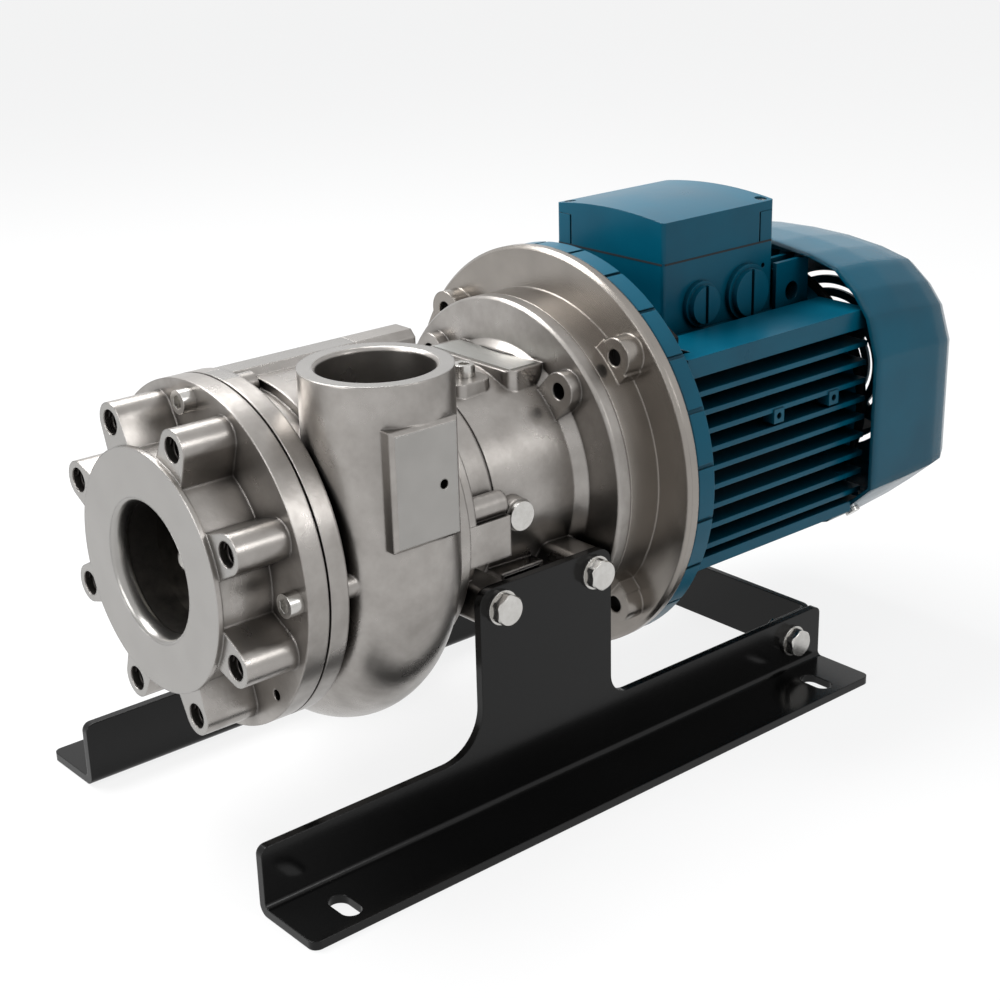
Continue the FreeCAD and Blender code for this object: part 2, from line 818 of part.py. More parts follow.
# Mechanical seal: a stationary seat, a turning face in its holder and a spring
def seal_seat():
    return ring(seal_chamber_end_x(), seal_seat_thickness, seal_seat_outer_radius,
                seal_seat_shaft_radius + 1.0)


def seal_face():
    return ring(seal_chamber_end_x() - seal_face_thickness, seal_face_thickness - running_clearance,
                seal_face_outer_radius, seal_seat_shaft_radius)


def seal_body_x():
    return housing_front_x + 3.0


def seal_body():
    return ring(seal_body_x(), seal_body_length, seal_body_radius, seal_seat_shaft_radius)


def seal_spring():
    start_x = seal_body_x() + seal_body_length + seal_spring_wire_radius
    end_x = seal_chamber_end_x() - seal_face_thickness - seal_spring_wire_radius
    pitch = (end_x - start_x) / seal_spring_coils
    helix = Part.makeHelix(pitch, end_x - start_x, seal_spring_radius)
    section = Part.Wire([Part.makeCircle(seal_spring_wire_radius,
                                         FreeCAD.Vector(seal_spring_radius, 0, 0), Y_AXIS)])
    coil = Part.Wire(helix.Edges).makePipeShell([section], True, True)
    coil.rotate(FreeCAD.Vector(0, 0, 0), Y_AXIS, 90)
    coil.translate(point(start_x, 0, 0))
    return coil


# Bracket with its window, name pad, ports and motor side disc
def bracket():
    flare_x = bracket_disc_x - bracket_flare_length
    outer = turned([(bracket_front_x, 0), (bracket_front_x, neck_radius - seam_groove_depth),
                    (bracket_front_x + seam_groove_width, neck_radius - seam_groove_depth),
                    (bracket_front_x + seam_groove_width, neck_radius),
                    (flare_x, neck_rear_radius), (bracket_disc_x, bracket_flare_radius),
                    (bracket_disc_x, bracket_disc_radius - bracket_edge_chamfer),
                    (bracket_disc_x + bracket_edge_chamfer, bracket_disc_radius),
                    (adapter_front_x, bracket_disc_radius), (adapter_front_x, 0)])
    lugs = []
    lug_holes = []
    for angle in quarter_angles(inner_lug_count):
        lug = rod(bracket_disc_x - inner_lug_height, inner_lug_height, inner_lug_radius,
                  0, inner_lug_circle_radius)
        web = block(bracket_disc_x - inner_lug_height, bracket_disc_x,
                    -inner_lug_radius, inner_lug_radius, neck_radius - 4.0, inner_lug_circle_radius)
        lugs.extend([turned_by(lug, angle), turned_by(web, angle)])
        hole = rod(bracket_disc_x - inner_lug_height, inner_lug_height + bracket_disc_thickness,
                   adapter_screw_radius + thread_clearance, 0, inner_lug_circle_radius)
        lug_holes.append(turned_by(hole, angle))
    pad = rounded_box(bracket_disc_x - name_pad_length, bracket_disc_x + 2.0,
                      -name_pad_half_width, name_pad_half_width,
                      name_pad_top - name_pad_depth, name_pad_top, name_pad_corner)
    port_x = bracket_front_x + port_boss_x_offset
    port = rounded_box(port_x, port_x + port_boss_length, port_boss_near_y, port_boss_far_y,
                       port_boss_top - port_boss_depth, port_boss_top, port_boss_corner)
    port_hole = Part.makeCylinder(port_plug_thread_radius + thread_clearance, port_plug_depth + 1.0,
                                  point(bracket_front_x + port_plug_x_offset, port_plug_y,
                                        port_boss_top - port_plug_depth - 1.0), Z_AXIS)
    side_port_x = bracket_front_x + side_port_x_offset
    side_port = side_rod(side_port_x, -neck_radius + 10.0, side_port_height,
                         side_port_boss_y - neck_radius + 10.0, side_port_boss_radius, -1)
    side_port_hole = side_rod(side_port_x, -side_port_boss_y, side_port_height,
                              side_port_thread_depth + 1.0,
                              side_port_thread_radius + thread_clearance, 1)
    frames = []
    windows = []
    window_x = bracket_front_x + window_x_offset
    for side in (-1, 1):
        near, far = sorted((side * (neck_radius - 22.0), side * window_frame_reach))
        frames.append(block(window_x - window_length / 2 - window_frame_width,
                            window_x + window_length / 2 + window_frame_width, near, far,
                            -window_drop - window_height / 2 - window_frame_width,
                            -window_drop + window_height / 2 + window_frame_width))
        near, far = sorted((0.0, side * (window_frame_reach + 1.0)))
        windows.append(block(window_x - window_length / 2, window_x + window_length / 2, near, far,
                             -window_drop - window_height / 2, -window_drop + window_height / 2))
    second_bolt_x = plate_bolt_first_x + plate_bolt_spacing
    outer = joined(outer, lugs, pad, port, side_port, frames, plate_bosses(second_bolt_x))
    hollow = turned([(bracket_front_x, 0), (bracket_front_x, bracket_inner_radius),
                     (adapter_front_x, bracket_inner_radius), (adapter_front_x, 0)])
    plate_recess = block(bracket_disc_x - name_pad_length + name_plate_inset,
                         bracket_disc_x - name_plate_inset,
                         -name_pad_half_width + name_plate_inset,
                         name_pad_half_width - name_plate_inset,
                         name_pad_top - name_plate_thickness / 2, name_pad_top + 1.0)
    return less(outer, hollow, lug_holes, port_hole, side_port_hole, windows,
                plate_boss_holes(second_bolt_x), plate_recess)


def name_plate():
    return block(bracket_disc_x - name_pad_length + name_plate_inset,
                 bracket_disc_x - name_plate_inset,
                 -name_pad_half_width + name_plate_inset, name_pad_half_width - name_plate_inset,
                 name_pad_top - name_plate_thickness / 2, name_pad_top + name_plate_thickness / 2)


def port_plug():
    plug_x = bracket_front_x + port_plug_x_offset
    head = Part.makeCylinder(port_plug_radius, port_plug_height,
                             point(plug_x, port_plug_y, port_boss_top), Z_AXIS)
    stem = Part.makeCylinder(port_plug_thread_radius, port_plug_depth,
                             point(plug_x, port_plug_y, port_boss_top - port_plug_depth), Z_AXIS)
    socket = hexagon(point(plug_x, port_plug_y,
                           port_boss_top + port_plug_height - port_plug_socket_depth),
                     2 * port_plug_socket_radius, port_plug_socket_depth, Z_AXIS)
    return less(joined(head, stem), socket)


def side_port_plug():
    side_port_x = bracket_front_x + side_port_x_offset
    head = side_rod(side_port_x, -side_port_boss_y, side_port_height, side_port_plug_height,
                    side_port_plug_radius, -1)
    stem = side_rod(side_port_x, -side_port_boss_y, side_port_height, side_port_thread_depth,
                    side_port_thread_radius, 1)
    return joined(head, stem)


# Adapter ring between the bracket and the larger motor flange
def adapter_ring():
    rear_x = motor_face_x
    outer = turned([(adapter_front_x, 0), (adapter_front_x, bracket_disc_radius),
                    (adapter_flange_x, bracket_disc_radius),
                    (adapter_flange_x, adapter_flange_radius - adapter_edge_chamfer),
                    (adapter_flange_x + adapter_edge_chamfer, adapter_flange_radius),
                    (rear_x, adapter_flange_radius), (rear_x, 0)])
    lugs = []
    holes = []
    for angle in quarter_angles(motor_bolt_count):
        lug_x = adapter_flange_x - outer_lug_length
        boss = rod(lug_x, outer_lug_length, outer_lug_radius, 0, motor_bolt_circle_radius)
        web = block(lug_x, adapter_flange_x, -outer_lug_half_width, outer_lug_half_width,
                    bracket_disc_radius - 8.0, motor_bolt_circle_radius)
        lugs.extend([turned_by(boss, angle), turned_by(web, angle)])
        hole = rod(lug_x, outer_lug_length + adapter_flange_thickness,
                   motor_screw_tapping_radius, 0, motor_bolt_circle_radius)
        holes.append(turned_by(hole, angle))
    for angle in quarter_angles(inner_lug_count):
        hole = rod(adapter_front_x, rear_x - adapter_front_x, adapter_screw_radius + screw_clearance,
                   0, inner_lug_circle_radius)
        recess = rod(rear_x - adapter_screw_head_height - 1.0, adapter_screw_head_height + 1.0,
                     adapter_screw_head_radius + screw_clearance, 0, inner_lug_circle_radius)
        holes.extend([turned_by(hole, angle), turned_by(recess, angle)])
    hollow = turned([(adapter_front_x, 0), (adapter_front_x, adapter_bore_radius),
                     (rear_x - adapter_spigot_length, adapter_bore_radius),
                     (rear_x - adapter_spigot_length, motor_spigot_radius + seat_clearance),
                     (rear_x, motor_spigot_radius + seat_clearance), (rear_x, 0)])
    return less(joined(outer, lugs), holes, hollow)


def adapter_screws():
    screws = []
    head_x = motor_face_x - adapter_screw_head_height - 1.0
    for angle in quarter_angles(inner_lug_count):
        y, z = around(inner_lug_circle_radius, angle)
        head = rod(head_x, adapter_screw_head_height - 4.0, adapter_screw_head_radius, y, z)
        shank = rod(head_x - adapter_screw_length + 8.0, adapter_screw_length - 8.0,
                    adapter_screw_radius, y, z)
        screws.append(joined(head, shank))
    return Part.makeCompound(screws)


# Drive end shield of the motor
def bearing_hub(x, width, bearing_radius, wall):
    return ring(x, width, bearing_radius + wall, bearing_radius)


def drive_shield():
    flange = turned([(motor_face_x, 0), (motor_face_x, motor_flange_radius - motor_flange_chamfer),
                     (motor_face_x + motor_flange_chamfer, motor_flange_radius),
                     (frame_front_x - motor_flange_chamfer, motor_flange_radius),
                     (frame_front_x, motor_flange_radius - motor_flange_chamfer),
                     (frame_front_x, 0)])
    spigot = rod(motor_face_x - motor_spigot_height, motor_spigot_height, motor_spigot_radius)
    hub = rod(motor_face_x, drive_bearing_inset + drive_bearing_width,
              drive_bearing_outer_radius + shield_hub_wall)
    body = joined(flange, spigot, hub)
    bore_x = drive_bearing_x
    cuts = [rod(bore_x, 60.0, drive_bearing_outer_radius),
            rod(bore_x - lip_seal_width, lip_seal_width, lip_seal_radius),
            rod(motor_face_x - 10.0, 60.0, drive_bearing_bore_radius + 2.0)]
    for angle in quarter_angles(inner_lug_count):
        y, z = around(inner_lug_circle_radius, angle)
        cuts.append(rod(motor_face_x - motor_spigot_height, 6.0, adapter_screw_head_radius + 1.0, y, z))
    for angle in quarter_angles(motor_bolt_count):
        y, z = around(motor_bolt_circle_radius, angle)
        cuts.append(rod(motor_face_x, motor_flange_thickness, motor_screw_radius + 1.0, y, z))
    for index in range(rim_notch_count):
        notch = block(motor_face_x, frame_front_x, -rim_notch_width / 2, rim_notch_width / 2,
                      motor_flange_radius - rim_notch_depth, motor_flange_radius + 1.0)
        cuts.append(turned_by(notch, (index + 0.5) * 360.0 / rim_notch_count))
    return less(body, cuts)


def motor_screws():
    screws = []
    length = frame_front_x - adapter_flange_x + outer_lug_length - 4.0
    for angle in quarter_angles(motor_bolt_count):
        y, z = around(motor_bolt_circle_radius, angle)
        head = hexagon(point(frame_front_x, y, z), motor_screw_head_flats, motor_screw_head_height,
                       X_AXIS)
        shank = rod(motor_face_x, frame_front_x - motor_face_x, motor_screw_radius, y, z)
        thread = rod(frame_front_x - length, length, motor_screw_tapping_radius - thread_clearance, y, z)
        screws.append(joined(head, shank, thread))
    return Part.makeCompound(screws)


# Motor frame: a tube with side fins, corner bars, top and bottom fins
def motor_frame():
    tube = rod(frame_front_x, frame_length, frame_outer_radius)
    parts = []
    for index in range(side_fin_count):
        z = side_fin_lowest + index * fin_pitch
        parts.append(block(frame_front_x, frame_rear_x, -fin_half_width, fin_half_width,
                           z, z + fin_thickness))
    for side in (-1, 1):
        near, far = sorted((side * corner_bar_inner_y, side * fin_half_width))
        parts.append(block(frame_front_x, frame_rear_x, near, far, corner_bar_bottom, corner_bar_top))
        parts.append(block(frame_front_x, frame_rear_x, near, far, low_bar_bottom, low_bar_top))
    for index in range(-top_fin_half_count, top_fin_half_count + 1):
        y = index * fin_pitch
        depth = math.sqrt(bottom_fin_height ** 2 - y ** 2)
        parts.append(block(frame_front_x, frame_rear_x, y - fin_thickness / 2, y + fin_thickness / 2,
                           -depth, -30.0))
        parts.append(block(box_rear_x, frame_rear_x, y - fin_thickness / 2, y + fin_thickness / 2,
                           30.0, top_fin_height))
    parts.append(rod(frame_front_x, frame_end_ring_length, frame_end_ring_radius))
    for index in range(2):
        pad_x = frame_front_x + screw_pad_first_x + index * screw_pad_spacing
        for side in (-1, 1):
            near, far = sorted((side * (fin_half_width - 8.0), side * (fin_half_width + 1.0)))
            parts.append(block(pad_x - screw_pad_size / 2, pad_x + screw_pad_size / 2, near, far,
                               screw_pad_height - screw_pad_size / 2,
                               screw_pad_height + screw_pad_size / 2))
    lug_x = box_rear_x + lifting_lug_gap
    lug = block(lug_x, lug_x + lifting_lug_length, -box_half_width - lifting_lug_thickness / 2,
                -box_half_width + lifting_lug_thickness / 2, lifting_lug_bottom, lifting_lug_top)
    parts.append(lug)
    body = joined(tube, parts)
    cuts = [rod(frame_front_x, frame_length, frame_inner_radius)]
    cuts.append(side_rod(lug_x + lifting_lug_length / 2, -box_half_width - lifting_lug_thickness,
                         (lifting_lug_bottom + lifting_lug_top) / 2 + 1.0,
                         2 * lifting_lug_thickness, lifting_lug_hole_radius, 1))
    for angle in quarter_angles(motor_bolt_count):
        y, z = around(motor_bolt_circle_radius, angle)
        cuts.append(rod(frame_front_x, motor_screw_head_height + 6.0, motor_screw_head_flats * 0.75, y, z))
    for index in range(2):
        pad_x = frame_front_x + screw_pad_first_x + index * screw_pad_spacing
        for side in (-1, 1):
            cuts.append(side_rod(pad_x, side * (fin_half_width + 1.0), screw_pad_height, 6.0,
                                 screw_pad_hole_radius, -side))
    cuts.append(block(box_front_x, box_rear_x, -box_half_width, box_half_width,
                      corner_bar_bottom - 2.0, box_crest_top + 10.0).cut(rod(frame_front_x, frame_length,
                                                                             frame_outer_radius)))
    for gland_x, radius in ((small_gland_x, small_gland_radius), (large_gland_x, large_gland_radius)):
        cuts.append(side_rod(box_front_x + gland_x, -box_half_width, gland_height,
                             gland_collar_thickness + gland_head_thickness + 1.0,
                             radius + screw_clearance, -1))
    reach = 2 * fin_half_width
    rear_end = block(cowl_front_x - cowl_trim_gap, frame_rear_x, -reach, reach, -reach, reach)
    cuts.append(rear_end.cut(cowl_solid(cowl_wall + cowl_trim_gap, cowl_wall, cowl_trim_gap)))
    return less(body, cuts)


def stator_core():
    return ring(core_front_x, core_length, frame_inner_radius, rotor_radius + air_gap)


def stator_windings():
    front = ring(core_front_x - winding_overhang, winding_overhang, winding_outer_radius,
                 winding_inner_radius)
    rear = ring(core_rear_x, winding_overhang, winding_outer_radius, winding_inner_radius)
    return Part.makeCompound([front, rear])


def rotor():
    core = rod(core_front_x, core_length, rotor_radius)
    front = rod(core_front_x - rotor_ring_length, rotor_ring_length, rotor_ring_radius)
    rear = rod(core_rear_x, rotor_ring_length, rotor_ring_radius)
    bore = rod(core_front_x - rotor_ring_length, core_length + 2 * rotor_ring_length,
               rotor_seat_radius)
    return less(joined(core, front, rear), bore)


# Ball bearings as rings and a caged set of balls
def bearing_sizes(bore_radius, outer_radius):
    section = outer_radius - bore_radius
    inner_race = bore_radius + section * bearing_race_share
    outer_race = outer_radius - section * bearing_race_share
    return inner_race, outer_race, (inner_race + outer_race) / 2, section * bearing_ball_share


def bearing_ring_outer(x, width, bore_radius, outer_radius):
    _, outer_race, pitch_radius, ball_radius = bearing_sizes(bore_radius, outer_radius)
    groove = torus(x + width / 2, pitch_radius, ball_radius + running_clearance)
    return less(ring(x, width, outer_radius, outer_race), groove)


def bearing_ring_inner(x, width, bore_radius, outer_radius):
    inner_race, _, pitch_radius, ball_radius = bearing_sizes(bore_radius, outer_radius)
    groove = torus(x + width / 2, pitch_radius, ball_radius + running_clearance)
    return less(ring(x, width, inner_race, bore_radius), groove)


def bearing_balls(x, width, bore_radius, outer_radius):
    _, _, pitch_radius, ball_radius = bearing_sizes(bore_radius, outer_radius)
    cage = ring(x + width / 2 - cage_half_width, 2 * cage_half_width,
                pitch_radius + cage_half_thickness, pitch_radius - cage_half_thickness)
    balls = []
    for index in range(bearing_ball_count):
        y, z = around(pitch_radius, index * 360.0 / bearing_ball_count)
        balls.append(Part.makeSphere(ball_radius, point(x + width / 2, y, z)))
    return joined(cage, balls)


# One shaft carries the impeller, the rotor and the fan
def shaft():
    impeller_end_x = housing_front_x - impeller_seat_length
    fan_end_x = fan_front_x + fan_hub_length + 2.0
    bar = turned([(impeller_end_x, 0), (impeller_end_x, impeller_seat_radius),
                  (impeller_rear_x, impeller_seat_radius), (impeller_rear_x, seal_seat_shaft_radius),
                  (bracket_front_x, seal_seat_shaft_radius),
                  (bracket_front_x, drive_bearing_bore_radius),
                  (drive_bearing_x + drive_bearing_width, drive_bearing_bore_radius),
                  (drive_bearing_x + drive_bearing_width, rotor_seat_radius),
                  (fan_bearing_x - 2.0, rotor_seat_radius),
                  (fan_bearing_x - 2.0, fan_bearing_bore_radius),
                  (fan_bearing_x + fan_bearing_width, fan_bearing_bore_radius),
                  (fan_bearing_x + fan_bearing_width, fan_seat_radius), (fan_end_x, fan_seat_radius),
                  (fan_end_x, 0)])
    screw_hole = rod(impeller_end_x, impeller_screw_grip + 2.0, impeller_screw_radius + thread_clearance)
    return less(bar, screw_hole, key_space())


def key_space():
    key_x = impeller_rear_x - 4.0 - impeller_key_length
    bottom = impeller_seat_radius - impeller_key_height / 2
    return block(key_x, key_x + impeller_key_length, -impeller_key_width / 2, impeller_key_width / 2,
                 bottom, bottom + impeller_key_height)


def impeller_key():
    return key_space()


def lip_seal():
    return ring(drive_bearing_x - lip_seal_width, lip_seal_width, lip_seal_radius,
                drive_bearing_bore_radius + running_clearance)


# Screw impeller: a conical hub with one spiral vane that widens into a disc
def impeller_hub_radius(x):
    share = (x - impeller_front_x) / (impeller_rear_x - impeller_disc_thickness - impeller_front_x)
    share = min(max(share, 0.0), 1.0)
    return impeller_nose_radius + (impeller_hub_rear_radius - impeller_nose_radius) * share ** 1.4


def vane_tip_radius(x):
    return min(liner_radius(x) - impeller_tip_gap, impeller_outlet_radius)


def swept_by_corners(sections):
    """A solid whose corner lines run smoothly through the corners of all the sections."""
    corner_lines = []
    for corner in range(len(sections[0])):
        curve = Part.BSplineCurve()
        curve.interpolate([section[corner] for section in sections])
        corner_lines.append(curve.toShape())
    faces = []
    for first, second in zip(corner_lines, corner_lines[1:] + corner_lines[:1]):
        faces.extend(Part.makeRuledSurface(first, second).Faces)
    for section in (sections[0], sections[-1]):
        faces.append(Part.Face(Part.makePolygon(section + section[:1])))
    shell = Part.makeShell(faces)
    shell.sewShape()
    solid = Part.makeSolid(shell)
    if solid.Volume < 0:
        solid.reverse()
    return solid


def screw_impeller():
    disc_x = impeller_rear_x - impeller_disc_thickness
    hub_points = []
    hub_steps = 6
    for index in range(hub_steps + 1):
        x = impeller_front_x + (disc_x - impeller_front_x) * index / hub_steps
        hub_points.append(point(x, 0, impeller_hub_radius(x)))
    curve = Part.BSplineCurve()
    curve.interpolate(hub_points)
    corners = [hub_points[-1], point(disc_x, 0, impeller_outlet_radius),
               point(impeller_rear_x, 0, impeller_outlet_radius), point(impeller_rear_x, 0, 0),
               point(impeller_front_x, 0, 0), hub_points[0]]
    edges = [curve.toShape()]
    for first, second in zip(corners[:-1], corners[1:]):
        edges.append(Part.makeLine(first, second))
    hub = Part.Face(Part.Wire(edges)).revolve(SHAFT_POINT, X_AXIS, 360)
    start_x = impeller_front_x + vane_thickness / 2 + 0.5
    end_x = disc_x + 1.0
    sections = []
    for index in range(vane_section_count):
        share = index / (vane_section_count - 1)
        x = start_x + (end_x - start_x) * share
        root = max(impeller_hub_radius(x - vane_thickness / 2) - vane_root_sink,
                   impeller_screw_radius + screw_clearance + 1.5)
        tip = vane_tip_radius(x - vane_thickness / 2)
        tip = root + 3.0 + (tip - root - 3.0) * min(1.0, share * 8.0 + 0.15)
        section = []
        for shift, radius in ((-0.5, root), (-0.5, tip), (0.5, tip), (0.5, root)):
            y, z = around(radius, -360.0 * vane_turns * share)
            section.append(point(x + shift * vane_thickness, y, z))
        sections.append(section)
    vane = swept_by_corners(sections)
    bore_x = housing_front_x - impeller_seat_length
    bore = rod(bore_x, impeller_rear_x - bore_x, impeller_seat_radius)
    screw_hole = rod(impeller_front_x, bore_x - impeller_front_x, impeller_screw_radius + screw_clearance)
    return less(joined(hub, vane), bore, screw_hole, key_space())


def impeller_screw():
    bore_x = housing_front_x - impeller_seat_length
    shank = rod(impeller_front_x, bore_x + impeller_screw_grip - impeller_front_x, impeller_screw_radius)
    head_x = impeller_front_x - impeller_screw_head_length
    head = rod(head_x, impeller_screw_head_length, impeller_screw_head_radius)
    nose_edge = [edge for edge in head.Edges if abs(edge.CenterOfMass.x - head_x) < 0.01]
    head = head.makeFillet(impeller_screw_head_length * 0.7, nose_edge)
    return joined(head, shank)


# Rear shield with the lugs that the cowl is screwed to
def cowl_screw_frames():
    """Seat point and outward direction of each cowl screw: two lower facets and the far side."""
    run, _, height_scale = cowl_stations[0]
    drop = 1.0 - (1.0 - height_scale) * (cowl_screw_x - cowl_front_x) / run
    upper, lower = cowl_corners[8], cowl_corners[9]
    outward = FreeCAD.Vector(0, upper[1] * drop - lower[1] * drop, lower[0] - upper[0])
    outward.normalize()
    seats = []
    for side in (-1, 1):
        middle = point(cowl_screw_x, side * (upper[0] + lower[0]) / 2, (upper[1] + lower[1]) * drop / 2)
        direction = FreeCAD.Vector(0, side * outward.y, outward.z)
        seats.append((middle + direction * cowl_screw_seat_gap, direction))
    seats.append((point(cowl_screw_x, cowl_half_width, 0), FreeCAD.Vector(0, 1, 0)))
    return seats


def cowl_screw_bar(seat, outward, start, end, radius):
    """A round bar along a cowl screw, from start to end counted outward from its seat."""
    return Part.makeCylinder(radius, end - start, seat + outward * start, outward)


def rear_shield():
    disc = rod(frame_rear_x, rear_shield_thickness, rear_shield_radius)
    hub = rod(fan_bearing_x, rear_shield_end_x - fan_bearing_x, fan_bearing_outer_radius + shield_hub_wall)
    spigot = ring(frame_rear_x - 4.0, 4.0, frame_inner_radius, frame_inner_radius - 8.0)
    lugs = []
    cuts = []
    for seat, outward in cowl_screw_frames():
        lug = block(frame_rear_x, rear_shield_end_x, -cowl_lug_width / 2, cowl_lug_width / 2,
                    rear_shield_radius - 8.0, math.hypot(seat.y, seat.z - shaft_height) + cowl_wall)
        lug = turned_by(lug, math.degrees(math.atan2(-seat.y, seat.z - shaft_height)))
        trim = cowl_solid(cowl_wall + cowl_trim_gap, cowl_wall)
        lugs.append(lug.common(trim))
        cuts.append(cowl_screw_bar(seat, outward, -cowl_screw_length - 1.0, 0.0,
                                   cowl_screw_radius + thread_clearance))
    cuts.append(rod(fan_bearing_x, fan_bearing_width, fan_bearing_outer_radius))
    cuts.append(rod(fan_bearing_x, 40.0, fan_bearing_bore_radius + 2.0))
    return less(joined(disc, hub, spigot, lugs), cuts)


def cooling_fan():
    hub = rod(fan_front_x, fan_hub_length, fan_hub_radius)
    disc = rod(fan_front_x, fan_disc_thickness, fan_disc_radius)
    blades = []
    for index in range(fan_blade_count):
        blade = block(fan_front_x, fan_front_x + fan_blade_height, -fan_blade_thickness / 2,
                      fan_blade_thickness / 2, fan_hub_radius - 2.0, fan_disc_radius)
        blades.append(turned_by(blade, index * 360.0 / fan_blade_count))
    return less(joined(hub, disc, blades), rod(fan_front_x, fan_hub_length, fan_seat_radius))


def cowl_outline(x, side_scale, height_scale, inset):
    """The section of the cowl at x; the inset moves every corner towards the middle."""
    half = []
    for y, z in cowl_corners:
        reach = math.hypot(y, z)
        share = 1.0 - inset / reach
        half.append((y * side_scale * share, z * height_scale * share))
    other = [(-y, z) for y, z in reversed(half) if y > 0]
    corners = [point(x, y, z) for y, z in half + other]
    return Part.makePolygon(corners + corners[:1])


def cowl_solid(inset, end_shift, front_shift=0.0):
    sections = [cowl_outline(cowl_front_x - front_shift, 1.0, 1.0, inset)]
    for run, side_scale, height_scale in cowl_stations:
        x = cowl_front_x + run
        if run == cowl_stations[-1][0]:
            x = x - end_shift
        sections.append(cowl_outline(x, side_scale, height_scale, inset))
    return Part.makeLoft(sections, True, True)


def fan_cowl():
    outer = cowl_solid(0.0, 0.0)
    inner = cowl_solid(cowl_wall, cowl_wall)
    cuts = [inner]
    for index in range(grille_ring_count):
        inner_radius = grille_first_radius + index * grille_pitch
        slot = ring(cowl_rear_x - cowl_wall - 1.0, cowl_wall + 2.0,
                    inner_radius + grille_slot_width, inner_radius)
        spokes = []
        for spoke in range(4):
            spokes.append(turned_by(block(cowl_rear_x - cowl_wall - 2.0, cowl_rear_x + 3.0,
                                          -grille_spoke_half_angle / 2, grille_spoke_half_angle / 2,
                                          0.0, 120.0), 45.0 + 90.0 * spoke))
        cuts.append(slot.cut(spokes))
    for seat, outward in cowl_screw_frames():
        cuts.append(cowl_screw_bar(seat, outward, -cowl_wall - 2.0, 1.0,
                                   cowl_screw_radius + screw_clearance))
    return less(outer, cuts)


def cowl_screws():
    screws = []
    for seat, outward in cowl_screw_frames():
        head = cowl_screw_bar(seat, outward, 0.0, cowl_screw_head_height, cowl_screw_head_radius)
        shank = cowl_screw_bar(seat, outward, -cowl_screw_length, 0.0, cowl_screw_radius)
        screws.append(joined(head, shank))
    return Part.makeCompound(screws)


# Terminal box on the frame, its crowned lid, blank gland plugs and terminal board
def lid_screw_places():
    """The two corner posts of the box, opposite each other."""
    return [(box_rear_x - lid_screw_inset, -box_half_width + lid_screw_inset),
            (box_front_x + lid_screw_inset, box_half_width - lid_screw_inset)]


def lid_posts(gap):
    """The corner posts of the box, or with a gap the room that the lid leaves round them."""
    width = lid_post_width + gap
    top = box_side_top - lid_ear_thickness + (0.2 if gap else 0.0)
    near = block(box_rear_x - width, box_rear_x, -box_half_width, -box_half_width + width,
                 box_lid_split, top)
    far = block(box_front_x, box_front_x + width, box_half_width - width, box_half_width,
                box_lid_split, top)
    return [near, far]


def terminal_box():
    full = rounded_box(box_front_x, box_rear_x, -box_half_width, box_half_width,
                       corner_bar_bottom, box_crest_top, box_corner_radius)
    outer = full.common(block(box_front_x, box_rear_x, -box_half_width, box_half_width,
                              corner_bar_bottom, box_lid_split))
    room = block(box_front_x + box_wall, box_rear_x - box_wall, -box_half_width + box_wall,
                 box_half_width - box_wall, box_floor, box_lid_split)
    posts = []
    holes = []
    for post in lid_posts(0.0):
        low = block(post.BoundBox.XMin, post.BoundBox.XMax, post.BoundBox.YMin, post.BoundBox.YMax,
                    box_floor - 1.0, post.BoundBox.ZMax - shaft_height)
        posts.append(low.common(full))
    for x, y in lid_screw_places():
        holes.append(Part.makeCylinder(lid_screw_radius + thread_clearance, lid_screw_length,
                                       point(x, y, box_side_top - lid_ear_thickness - lid_screw_length),
                                       Z_AXIS))
    for gland_x, radius in ((small_gland_x, small_gland_radius), (large_gland_x, large_gland_radius)):
        holes.append(side_rod(box_front_x + gland_x, -box_half_width, gland_height, box_wall + 1.0,
                              radius * gland_thread_share + thread_clearance, 1))
    holes.append(side_rod(box_rear_x - box_side_hole_inset, -box_half_width, box_side_hole_height,
                          box_side_hole_depth, box_side_hole_radius, 1))
    body = less(outer, room, rod(frame_front_x, frame_length, frame_outer_radius))
    return less(joined(body, posts), holes)


def terminal_lid():
    rise = box_crest_top - box_side_top
    crown_radius = (box_half_width ** 2 + rise ** 2) / (2 * rise)
    outer = rounded_box(box_front_x, box_rear_x, -box_half_width, box_half_width,
                        box_lid_split, box_crest_top, box_corner_radius)
    crown = rod(box_front_x, box_length, crown_radius, 0, box_crest_top - crown_radius)
    outer = outer.common(crown)
    hollow = block(box_front_x + box_wall, box_rear_x - box_wall, -box_half_width + box_wall,
                   box_half_width - box_wall, box_lid_split, box_side_top - box_wall)
    ears = []
    holes = []
    for x, y in lid_screw_places():
        reach = lid_screw_inset + lid_gap + box_wall
        ears.append(block(x - reach, x + reach, y - reach, y + reach,
                          box_lid_split, box_side_top).common(outer))
        holes.append(Part.makeCylinder(lid_screw_radius + screw_clearance, 60.0,
                                       point(x, y, box_lid_split), Z_AXIS))
        holes.append(Part.makeCylinder(lid_screw_head_radius + screw_clearance, 60.0,
                                       point(x, y, box_side_top - lid_screw_head_height), Z_AXIS))
    body = joined(less(outer, hollow), ears)
    return less(body, lid_posts(lid_gap), holes)


def lid_screws():
    screws = []
    for x, y in lid_screw_places():
        seat = box_side_top - lid_screw_head_height
        head = Part.makeCylinder(lid_screw_head_radius, lid_screw_head_height, point(x, y, seat), Z_AXIS)
        shank = Part.makeCylinder(lid_screw_radius, lid_screw_length, point(x, y, seat - lid_screw_length),
                                  Z_AXIS)
        screws.append(joined(head, shank))
    return Part.makeCompound(screws)


